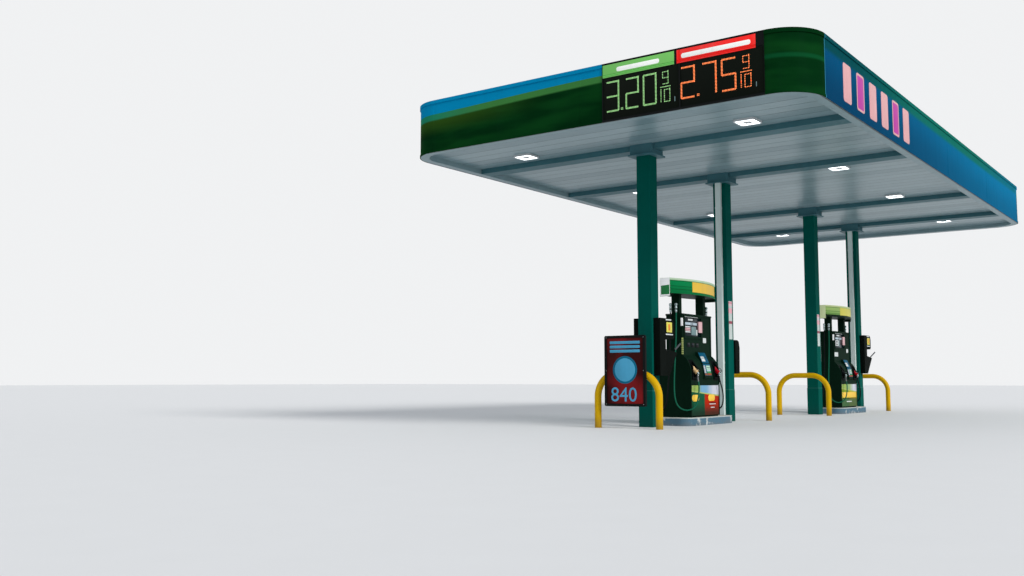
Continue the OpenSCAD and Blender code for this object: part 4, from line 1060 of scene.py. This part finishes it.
def makeLight(name, x, y):
    v = lightValues
    piece = Piece(name)
    for wide, corner, steps, rise, thick, finish, bevel in v["plates"]:
        outline = roundedOutline(wide, wide, corner, steps)
        piece.plate(outline, (x, y, v["face"] + rise), alongY, alongX, thick, finish, bevel)
    rows = range(-v["rows"], v["rows"] + 1)
    for i, j in [(i, j) for i in rows for j in rows if max(abs(i), abs(j)) > v["hubRows"]]:
        place = (x + i * v["pitch"], y + j * v["pitch"], v["face"] + v["lampRise"])
        piece.turned(place, downZ, v["lamp"], "chip", 10)
    for i in v["screws"]:
        for j in v["screws"]:
            piece.turned((x + i, y + j, v["face"] + v["screwRise"]), downZ, v["screw"], "zinc", 12)
    piece.done("lamp_housing")


for row, y in enumerate(lightValues["y"]):
    makeLight(f"light_{row + 1}_left", -lightValues["x"], y)
    makeLight(f"light_{row + 1}_right", lightValues["x"], y)
print("lights made")

# Fascia: joint covers, and rivets in the trims. A row of rivets has its height and how far it is set in
fasciaParts = {"half": (3.658, 7.620), "straight": (3.018, 6.980), "inset": 0.014, "cover": (4.746, 5.564),
               "coverOut": 0.0012, "coverHalf": 0.012, "bevel": 0.0005, "joints": 5, "jointPitch": 3.49,
               "sign": (0.39, 3.1), "rivetRows": {"top": (5.594, 0.001), "foot": (4.730, 0.005)},
               "rivetEnd": 0.05, "rivetPitch": 0.305,
               "rivet": {"Radius": 0.006, "Height": 0.0008, "Crown": 0.5}}


def makeFasciaJoints():
    v = fasciaParts
    (halfX, halfY), (straightX, straightY) = v["half"], v["straight"]
    half, (low, high), (signLeft, signRight) = v["coverHalf"], v["cover"], v["sign"]
    joints = Piece("fascia_joints")
    for sign in (-1, 1):
        face = sign * (halfX - v["inset"])
        back, out = sorted((face, face + sign * v["coverOut"]))
        for k in range(v["joints"]):
            y = -straightY + k * v["jointPitch"]
            joints.block((back, y - half, low), (out, y + half, high), "fascia", v["bevel"])
        face = sign * (halfY - v["inset"])
        back, out = sorted((face, face + sign * v["coverOut"]))
        for x in (-straightX, 0.0, straightX):
            if sign > 0 or not signLeft < x < signRight:
                joints.block((x - half, back, low), (x + half, out, high), "fascia", v["bevel"])
    joints.done("fascia_green")


def makeFasciaRivets():
    v = fasciaParts
    end = v["straight"][1] - v["rivetEnd"]
    for row, (z, inset) in v["rivetRows"].items():
        for side, sign in (("right", 1), ("left", -1)):
            x = sign * (v["half"][0] - inset)
            makeStuds(f"fascia_rivets_{row}_{side}", [((x, -end, z), (x, end, z))], "fascia_green", "zinc",
                      Pitch=v["rivetPitch"], Turn=(0, sign * quarter, 0), **v["rivet"])


# Six equal plain panels in a row on each long side, each of two layers with a trim, a lift and a thickness
panelValues = {"count": 6, "start": -6.20, "pitch": 0.62, "wide": 0.36, "foot": 4.84, "top": 5.42,
               "corner": 0.05, "layers": ((0.0, 0.0, 0.003), (0.035, 0.0026, 0.0012)), "strong": (1, 4),
               "bevel": 0.0005}


def makeSidePanels():
    v = panelValues
    x = fasciaParts["half"][0] - fasciaParts["inset"]
    tall, middleZ = v["top"] - v["foot"], (v["top"] + v["foot"]) / 2
    for side in sides:
        piece = Piece(f"side_panels_{'left' if side else 'right'}", Matrix.Rotation(math.pi * side, 4, "Z"))
        for k in range(v["count"]):
            middle = (v["start"] + k * v["pitch"] + v["wide"] / 2, middleZ)
            field = "magenta" if k in v["strong"] else "rose"
            for (trim, lift, thick), finish in zip(v["layers"], ("rose", field)):
                size = (v["wide"] - 2 * trim, tall - 2 * trim)
                outline = roundedOutline(*size, v["corner"] - trim / 2, middle=middle)
                piece.plate(outline, (x + lift, 0, 0), alongY, upZ, thick, finish, v["bevel"])
        piece.done("fascia_green")


makeFasciaJoints()
makeFasciaRivets()
makeSidePanels()
print("fascia parts made")

# Poster: a printed sheet with plain stripes, one disc and a plain number
posterValues = {
    "face": -6.2975, "wide": 0.336, "foot": 0.402, "top": 1.468, "sheet": 0.003, "sheetBevel": 0.001,
    "stripe": (0.56, 0.045, 0.012), "stripes": (1.395, 1.325, 1.255), "stripeBevel": 0.0006,
    "disc": (0.0, 0.950, 0.225), "discs": ((1.0, 0.0025, "skyDark"), (0.84, 0.0042, "sky")),
    "discThick": (0.0014, 0.0018), "discEdge": 0.001, "number": ("840", 0.33, -0.27, 0.440),
    "printOut": 0.0025, "printThick": 0.002, "screwX": (-0.345, 0.345), "screwZ": (0.395, 0.935, 1.475),
    "screwOut": 0.0118, "screw": [(0, 0.0050), (0.0004, 0.0040)]}


def makePoster():
    v = posterValues
    y, toRoad = v["face"], (0, -1, 0)
    printed = y - v["printOut"]
    sheet = Piece("poster_sheet")
    low, high = (-v["wide"], y - v["sheet"], v["foot"]), (v["wide"], y, v["top"])
    sheet.block(low, high, "crimson", v["sheetBevel"])
    for z in v["stripes"]:
        outline = roundedOutline(*v["stripe"], middle=(0, z))
        sheet.plate(outline, (0, printed, 0), alongX, upZ, v["printThick"], "sky", v["stripeBevel"])
    x, z, radius = v["disc"]
    side, rim = v["discThick"]
    for share, lift, finish in v["discs"]:
        wide = share * radius
        rings = [(0, wide), (side, wide), (rim, wide - v["discEdge"])]
        sheet.turned((x, y - lift, z), toRoad, rings, finish, 72)
    text, size, left, foot = v["number"]
    sheet.number(text, size, (left, printed, foot), alongX, upZ, v["printThick"], "sky")
    for x in v["screwX"]:
        for z in v["screwZ"]:
            sheet.turned((x, y - v["screwOut"], z), toRoad, v["screw"], "zinc", 12)
    sheet.done("sign_black")


makePoster()
print("poster made")

# Dispenser displays. A label's values are its left, right, foot and top, how far its back and front stand out
# from the window, its finish and its bevel
displayValues = {
    "floor": 0.138, "rim": 0.1662, "cheek": 0.1588, "skin": 0.1500, "y": (-0.472, 0.152), "z": (1.568, 1.892),
    "glass": (0.0005, 0.0045, 0.0015), "window": 0.004,
    "rimLine": ((-0.0004, -0.50, 1.903), (0.0010, 0.02, 1.909), 0.0003),
    "readout": ((-0.325, -0.140, 1.848, 1.876, 0.0, 0.0015, "label", 0.0006),
                (-0.450, 0.030, 1.768, 1.812, 0.0, 0.0015, "lcd", 0.0006)),
    "number": ("0.000", 0.050, 0.0012, -0.23, 1.772, 0.001),
    "labels": {1: ((-0.450, -0.235, 1.722, 1.744, 0.0, 0.0012, "label", 0.0004),
                   (-0.450, -0.235, 1.692, 1.714, 0.0, 0.0012, "pink", 0.0004),
                   (-0.450, -0.235, 1.662, 1.684, 0.0, 0.0012, "pink", 0.0004),
                   (-0.450, -0.235, 1.632, 1.654, 0.0, 0.0012, "label", 0.0004)),
               2: ((-0.460, -0.200, 1.610, 1.745, 0.0, 0.0012, "label", 0.0004),
                   (-0.360, -0.270, 1.630, 1.666, 0.0008, 0.0020, "black", 0.0004),
                   (-0.360, -0.270, 1.690, 1.726, 0.0008, 0.0020, "black", 0.0004),
                   (-0.195, -0.120, 1.600, 1.750, 0.0, 0.0012, "slate", 0.0004))},
    "screen": (0.19, 0.150, 0.02), "screenMiddle": (-0.10, 1.665), "screenDepth": (-0.0005, 0.0016, 0.0006),
    "tab": (0.000, 0.040, 1.590, 1.690, 0.0, 0.0024, "label", 0.0006),
    "card": (0.060, 0.196, 1.640, 1.838, 0.0, 0.0254, "pink", 0.0010)}

# Below the window: round-cornered badges of a width, height and middle, buttons on plates, and marks that
# fold round the cheek's edge
belowValues = {
    "badges": {1: ((0.130, 0.090, (0.315, 1.505)),),
               2: ((0.130, 0.090, (0.400, 1.505)), (0.250, 0.100, (-0.40, 1.405)))},
    "badgeCorner": 0.012, "badgeDepth": (-0.0003, 0.0016, 0.0006), "buttons": {1: (-0.34, -0.17, 0.0), 2: ()},
    "buttonPlates": ((0.120, 0.075, 0.012, 1.410, -0.0005, 0.006, "black", 0.002),
                     (0.085, 0.026, 0.006, 1.424, 0.0050, 0.0012, "glass", 0.0004)),
    "button": (0.0045, 1.393, [(0, 0.015), (0.003, 0.014), (0.004, 0.011)]),
    "badge": (1.740, 1.880, 0.128, "endWhite"), "strip": {1: 9, 2: 0}, "mark": (1.240, 1.265, 0.136, "lime"),
    "markPitch": 0.033, "front": (-0.578, -0.557, 0.0012), "fold": (-0.5815, -0.5798, 0.157), "bevel": 0.0003}


def makeDisplay(number, side):
    v = displayValues
    piece = Piece(f"display_{number}_{side + 1}", faceTurn(number, side))
    x, rim, (y0, y1), (z0, z1) = v["floor"], v["rim"], v["y"], v["z"]
    window = x + v["window"]

    def label(y0, y1, z0, z1, back, front, finish, bevel):
        piece.block((window + back, y0, z0), (window + front, y1, z1), finish, bevel)

    back, front, bevel = v["glass"]
    piece.block((x + back, y0, z0), (x + front, y1, z1), "glass", bevel)
    (back, y0, z0), (front, y1, z1), bevel = v["rimLine"]
    piece.block((rim + back, y0, z0), (rim + front, y1, z1), "label", bevel)
    for values in v["readout"]:
        label(*values)
    text, size, out, y, z, thick = v["number"]
    piece.number(text, size, (window + out, y, z), alongY, upZ, thick, "black")
    for values in v["labels"][number]:
        label(*values)
    if number == 1:
        out, thick, bevel = v["screenDepth"]
        outline = roundedOutline(*v["screen"], middle=v["screenMiddle"])
        piece.plate(outline, (window + out, 0, 0), alongY, upZ, thick, "slate", bevel)
        label(*v["tab"])
    label(*v["card"])
    addBelow(piece, number)
    piece.done("cabinet_green")


def addBelow(piece, number):
    v = belowValues
    skin, cheek = displayValues["skin"], displayValues["cheek"]
    out, thick, bevel = v["badgeDepth"]
    for wide, tall, middle in v["badges"][number]:
        outline = roundedOutline(wide, tall, v["badgeCorner"], middle=middle)
        piece.plate(outline, (skin + out, 0, 0), alongY, upZ, thick, "label", bevel)
    buttonOut, buttonZ, rings = v["button"]
    for y in v["buttons"][number]:
        for wide, tall, corner, z, out, thick, finish, bevel in v["buttonPlates"]:
            outline = roundedOutline(wide, tall, corner, middle=(y, z))
            piece.plate(outline, (skin + out, 0, 0), alongY, upZ, thick, finish, bevel)
        piece.turned((skin + buttonOut, y, buttonZ), alongX, rings, "black", 20)

    # The badge and the strip of marks fold round the cheek's edge
    low, high, inner, tint = v["mark"]
    rises = [k * v["markPitch"] for k in range(v["strip"][number])]
    marks = [v["badge"]] + [(low + rise, high + rise, inner, tint) for rise in rises]
    frontLeft, frontRight, out = v["front"]
    foldLeft, foldRight, outer = v["fold"]
    for z0, z1, inner, tint in marks:
        piece.block((cheek, frontLeft, z0), (cheek + out, frontRight, z1), tint, v["bevel"])
        piece.block((inner, foldLeft, z0), (outer, foldRight, z1), tint, v["bevel"])


# Consoles. A panel's values are the flat it lies on, its left, right, foot and top, its lift and thickness,
# its finish, and where they aren't the usual ones its corner and bevel
consoleValues = {
    "flats": {"high": ((0.288, 1.085), (0.195, 1.285)), "low": ((0.335, 0.860), (0.288, 1.085))},
    "left": -0.070,
    "backs": (("high", 0.006, 0.279, 1.092, 1.278, 0.0, 0.0025, "teal", 0.012),
              ("high", 0.020, 0.150, 1.118, 1.205, 0.002, 0.005, "label"),
              ("high", 0.034, 0.136, 1.172, 1.182, 0.0065, 0.001, "black", 0.002),
              ("high", 0.196, 0.246, 1.180, 1.190, 0.002, 0.003, "black", 0.003),
              ("low", 0.006, 0.279, 0.866, 1.078, 0.0, 0.0025, "teal", 0.012),
              ("low", 0.014, 0.068, 0.912, 1.045, 0.002, 0.003, "label")),
    "keysLeft": (0.018, 0.042), "keysFoot": (0.919, 0.950, 0.981, 1.012), "key": (0.021, 0.024),
    "keyFinish": (0.0045, 0.004, "steelBright", 0.004),
    "fronts": (("low", 0.112, 0.271, 0.967, 1.045, 0.002, 0.002, "mint", 0.004),
               ("low", 0.112, 0.271, 0.944, 0.964, 0.002, 0.002, "lcd", 0.004),
               ("low", 0.112, 0.271, 0.914, 0.941, 0.002, 0.002, "leaf", 0.004),
               ("low", 0.112, 0.271, 0.872, 0.911, 0.002, 0.002, "brown", 0.004),
               ("low", 0.124, 0.255, 1.003, 1.012, 0.0036, 0.001, "black", 0.002, 0.0004),
               ("low", 0.014, 0.096, 0.872, 0.904, 0.002, 0.002, "brown", 0.004))}


def makeConsole(number, side):
    v = consoleValues
    piece = Piece(f"console_{number}_{side + 1}", faceTurn(number, side))

    # A plate on one of the flats, between two widths and two heights
    def panel(flat, a0, a1, z0, z1, lift, thick, finish, corner=0.006, bevel=0.0008):
        (footX, footZ), (topX, topZ) = v["flats"][flat]
        up = Vector((topX - footX, 0, topZ - footZ))
        stretch = up.length / (topZ - footZ)
        up.normalize()
        b0, b1 = (z0 - footZ) * stretch, (z1 - footZ) * stretch
        outline = roundedOutline(a1 - a0, b1 - b0, corner, 4, middle=((a0 + a1) / 2, (b0 + b1) / 2))
        out = Vector(alongY).cross(up)
        piece.plate(outline, Vector((footX, v["left"], footZ)) + out * lift, alongY, up, thick, finish, bevel)

    wide, tall = v["key"]
    keys = [("low", a, a + wide, z, z + tall, *v["keyFinish"]) for a in v["keysLeft"] for z in v["keysFoot"]]
    for values in (*v["backs"], *keys, *v["fronts"]):
        panel(*values)
    piece.done("cabinet_green")


# Lower doors: a printed plate, round-cornered pads, strips of a left, right, foot, top and finish, and two
# screws
doorPlate = {
    "face": 0.300, "y": (-0.548, 0.548), "z": (0.165, 0.692), "corner": 0.012, "sunk": 0.0005, "thick": 0.003,
    "bevel": 0.001, "front": 0.0022, "pads": {1: (-0.395, 0.250), 2: ()}, "pad": (0.27, 0.115, 0.056, 8),
    "padRise": 0.470, "padBevel": 0.0004,
    "strips": {1: ((0.16, 0.42, 0.372, 0.386, "black"), (0.16, 0.42, 0.350, 0.364, "label"),
                   (0.21, 0.37, 0.290, 0.304, "label")),
               2: ((-0.518, 0.518, 0.375, 0.500, "amber"), (-0.488, 0.518, 0.345, 0.362, "black"),
                   (-0.20, 0.16, 0.265, 0.290, "label"))},
    "stripThick": 0.001, "stripBevel": 0.0003, "screwY": (-0.518, 0.518), "screwZ": 0.672, "screwOut": 0.002,
    "screw": [(0, 0.010), (0.0025, 0.009), (0.003, 0.005)]}


def makeDoor(number, side):
    v = doorPlate
    (y0, y1), (z0, z1), x = v["y"], v["z"], v["face"]
    piece = Piece(f"door_{number}_{side + 1}", faceTurn(number, side))
    outline = roundedOutline(y1 - y0, z1 - z0, v["corner"], middle=((y0 + y1) / 2, (z0 + z1) / 2))
    piece.plate(outline, (x - v["sunk"], 0, 0), alongY, upZ, v["thick"], f"door{number}", v["bevel"])
    front = x + v["front"]
    for y in v["pads"][number]:
        outline = roundedOutline(*v["pad"], middle=(y, v["padRise"]))
        piece.plate(outline, (front, 0, 0), alongY, upZ, v["stripThick"], "amber", v["padBevel"])
    for y0, y1, z0, z1, tint in v["strips"][number]:
        piece.block((front, y0, z0), (front + v["stripThick"], y1, z1), tint, v["stripBevel"])
    for y in v["screwY"]:
        piece.turned((x + v["screwOut"], y, v["screwZ"]), alongX, v["screw"], "zinc", 16)
    piece.done("cabinet_green")


for number in (1, 2):
    for side in sides:
        makeDisplay(number, side)
        makeConsole(number, side)
        makeDoor(number, side)
print("dispenser faces made")

# Toppers: plain panels on the bows, pale ends, and a green field on the first one's
topperValues = {"radius": 2.2266, "mid": 0.280, "panel": (-0.35, 0.83, 2.345, 2.525), "sunk": 0.0005,
                "thick": 0.003, "steps": 48, "end": (-0.9135, -0.911), "endHalf": 0.094,
                "endZ": (2.254, 2.566), "endBevel": 0.0008, "fieldStart": (0, -0.913, 2.250),
                "fieldThick": 0.0018, "fieldBevel": 0.0006,
                "field": [(-0.076, 0.030), (0.086, 0.030), (0.086, 0.198), (-0.076, 0.186)],
                "finishes": {1: ("amber", "endWhite"), 2: ("lemon", "endCream")}}


def makeTopper(number, side):
    v = topperValues
    panel, end = v["finishes"][number]
    piece = Piece(f"topper_panels_{number}_{side + 1}", faceTurn(number, side))
    middle = (v["mid"] - v["radius"], 0)
    y0, y1, z0, z1 = v["panel"]
    angles = [math.asin(y / v["radius"]) for y in (y0, y1)]
    piece.bowed(middle, v["radius"] - v["sunk"], angles, (z0, z1), v["thick"], panel, v["steps"])
    half, (y0, y1), (z0, z1) = v["endHalf"], v["end"], v["endZ"]
    piece.block((-half, y0, z0), (half, y1, z1), end, v["endBevel"])
    if number == 1:
        piece.plate(v["field"], v["fieldStart"], alongX, upZ, v["fieldThick"], "leaf", v["fieldBevel"])
    piece.done("topper_green")


for number in (1, 2):
    for side in sides:
        makeTopper(number, side)
print("toppers made")

# Service units: labels, a cloth in its slot, water in the bucket and the squeegee's grip. The face and the
# foot of each unit are given by column; the other places count from them
unitValues = {"columns": {1: (-5.3595, 0.860), 4: (5.6135, 0.960)}, "wide": 0.250, "labelBevel": 0.0004,
              "labels": ((0.045, 0.245, 0.735, 0.905, "lemon", 0.0012),
                         (0.110, 0.180, 0.765, 0.875, "orange", 0.0018),
                         (0.020, 0.215, 0.936, 0.958, "label", 0.0012),
                         (0.020, 0.275, 0.688, 0.708, "label", 0.0012)),
              "cloth": ((-0.14, 0.300, 0.672), (0.14, 0.332, 0.704), "hub", 0.004),
              "slot": ((-0.24, 0.3295, 0.846), (0.24, 0.3325, 0.854), "black", 0.001),
              "water": ((-0.199, 0.015, 0.236), (0.199, 0.377, 0.240), "water", 0.001),
              "grip": ((0.250, 0.3515, 0.4485), (0.341, 0.3805, 0.553), 0.0145)}


def makeUnitDetails(number, faceY, foot):
    v = unitValues
    piece = Piece(f"unit_details_{number}", Matrix.Translation((0, faceY, foot)))
    for side in (-1, 1):
        for y0, y1, z0, z1, finish, thick in v["labels"]:
            low, high = sorted((side * v["wide"], side * (v["wide"] + thick)))
            piece.block((low, y0, z0), (high, y1, z1), finish, v["labelBevel"])
    for part in ("cloth", "slot", "water"):
        piece.block(*v[part])
    piece.rod(*v["grip"], "hub")
    piece.done("unit_plastic")


for number, (faceY, foot) in unitValues["columns"].items():
    makeUnitDetails(number, faceY, foot)
print("service units made")


# Notices: a screw at each corner
def makeNoticeScrews():
    v = noticeValues["screws"]
    piece = Piece("notice_screws")
    for middle in columnY[1:3]:
        for y in v["y"]:
            for z in v["z"]:
                piece.turned((v["x"], middle + y, z), alongX, v["rings"], "zinc", 12)
    piece.done("notice_plate")


# Roof bolts: a pair over each crossing of beam and purlin
boltValues = {"x": (-3.0, -1.8, -0.6, 0.6, 1.8, 3.0), "half": 0.03, "beside": (-0.055, 0.055), "rise": 5.1215,
              "bolt": {"Pitch": 0.06, "Radius": 0.011, "Height": 0.008, "Corners": 6, "Crown": 0.95}}


def makeRoofBolts():
    v = boltValues
    half, rise = v["half"], v["rise"]
    pairs = [((x - half, y + k, rise), (x + half, y + k, rise)) for x in v["x"] for y in columnY
             for k in v["beside"]]
    makeStuds("roof_bolts", pairs, "frame_steel", "zinc", **v["bolt"])


makeNoticeScrews()
makeRoofBolts()
print("fixings made")

# Stage: a floor, the studio's own light, and two suns with their turns, strengths, angles and colours
stageValues = {"reach": 160.0, "floor": (0.74, 0.75, 0.76), "light": (0.80, 0.84, 0.90),
               "seen": (0.93, 0.94, 0.95), "strength": 0.58, "seenMore": 0.36,
               "suns": (("keyLight", (58, 0, 76), 2.6, 25, (1.0, 0.98, 0.95)),
                        ("fillLight", (60, 0, -40), 0.22, 40, (0.92, 0.96, 1.0)))}


def makeFloor():
    reach = stageValues["reach"]
    paint = plainFinish("studioFloor", stageValues["floor"], 0.75, Mottle=0.03, Streaks=0.0, Specks=0.0,
                        relief=0.0)
    data = bpy.data.meshes.new("floor")
    corners = [(-reach, -reach, 0), (reach, -reach, 0), (reach, reach, 0), (-reach, reach, 0)]
    data.from_pydata(corners, [], [(0, 1, 2, 3)])
    data.materials.append(paint)
    floor = bpy.data.objects.new("floor", data)
    scene.collection.objects.link(floor)


# What the camera, a reflection or glass sees of the studio is brighter than what lights the part
def makeWorld():
    v = stageValues
    world = bpy.data.worlds.new("studio")
    world.use_nodes = True
    scene.world = world
    studio = Tree(world.node_tree)
    background = world.node_tree.nodes["Background"].inputs
    path = studio.add("ShaderNodeLightPath").outputs
    seen = studio.most(path["Is Camera Ray"], studio.most(path["Is Glossy Ray"], path["Is Transmission Ray"]))
    studio.feed(background["Color"], studio.mix(seen, v["light"], v["seen"]))
    studio.feed(background["Strength"], studio.plus(v["strength"], studio.times(seen, v["seenMore"])))


def addSun(name, turn, strength, angle, colour):
    data = bpy.data.lights.new(name, "SUN")
    data.energy, data.angle, data.color = strength, math.radians(angle), colour
    lamp = bpy.data.objects.new(name, data)
    lamp.rotation_euler = [math.radians(a) for a in turn]
    scene.collection.objects.link(lamp)


makeFloor()
makeWorld()
for sun in stageValues["suns"]:
    addSun(*sun)
print("stage set")
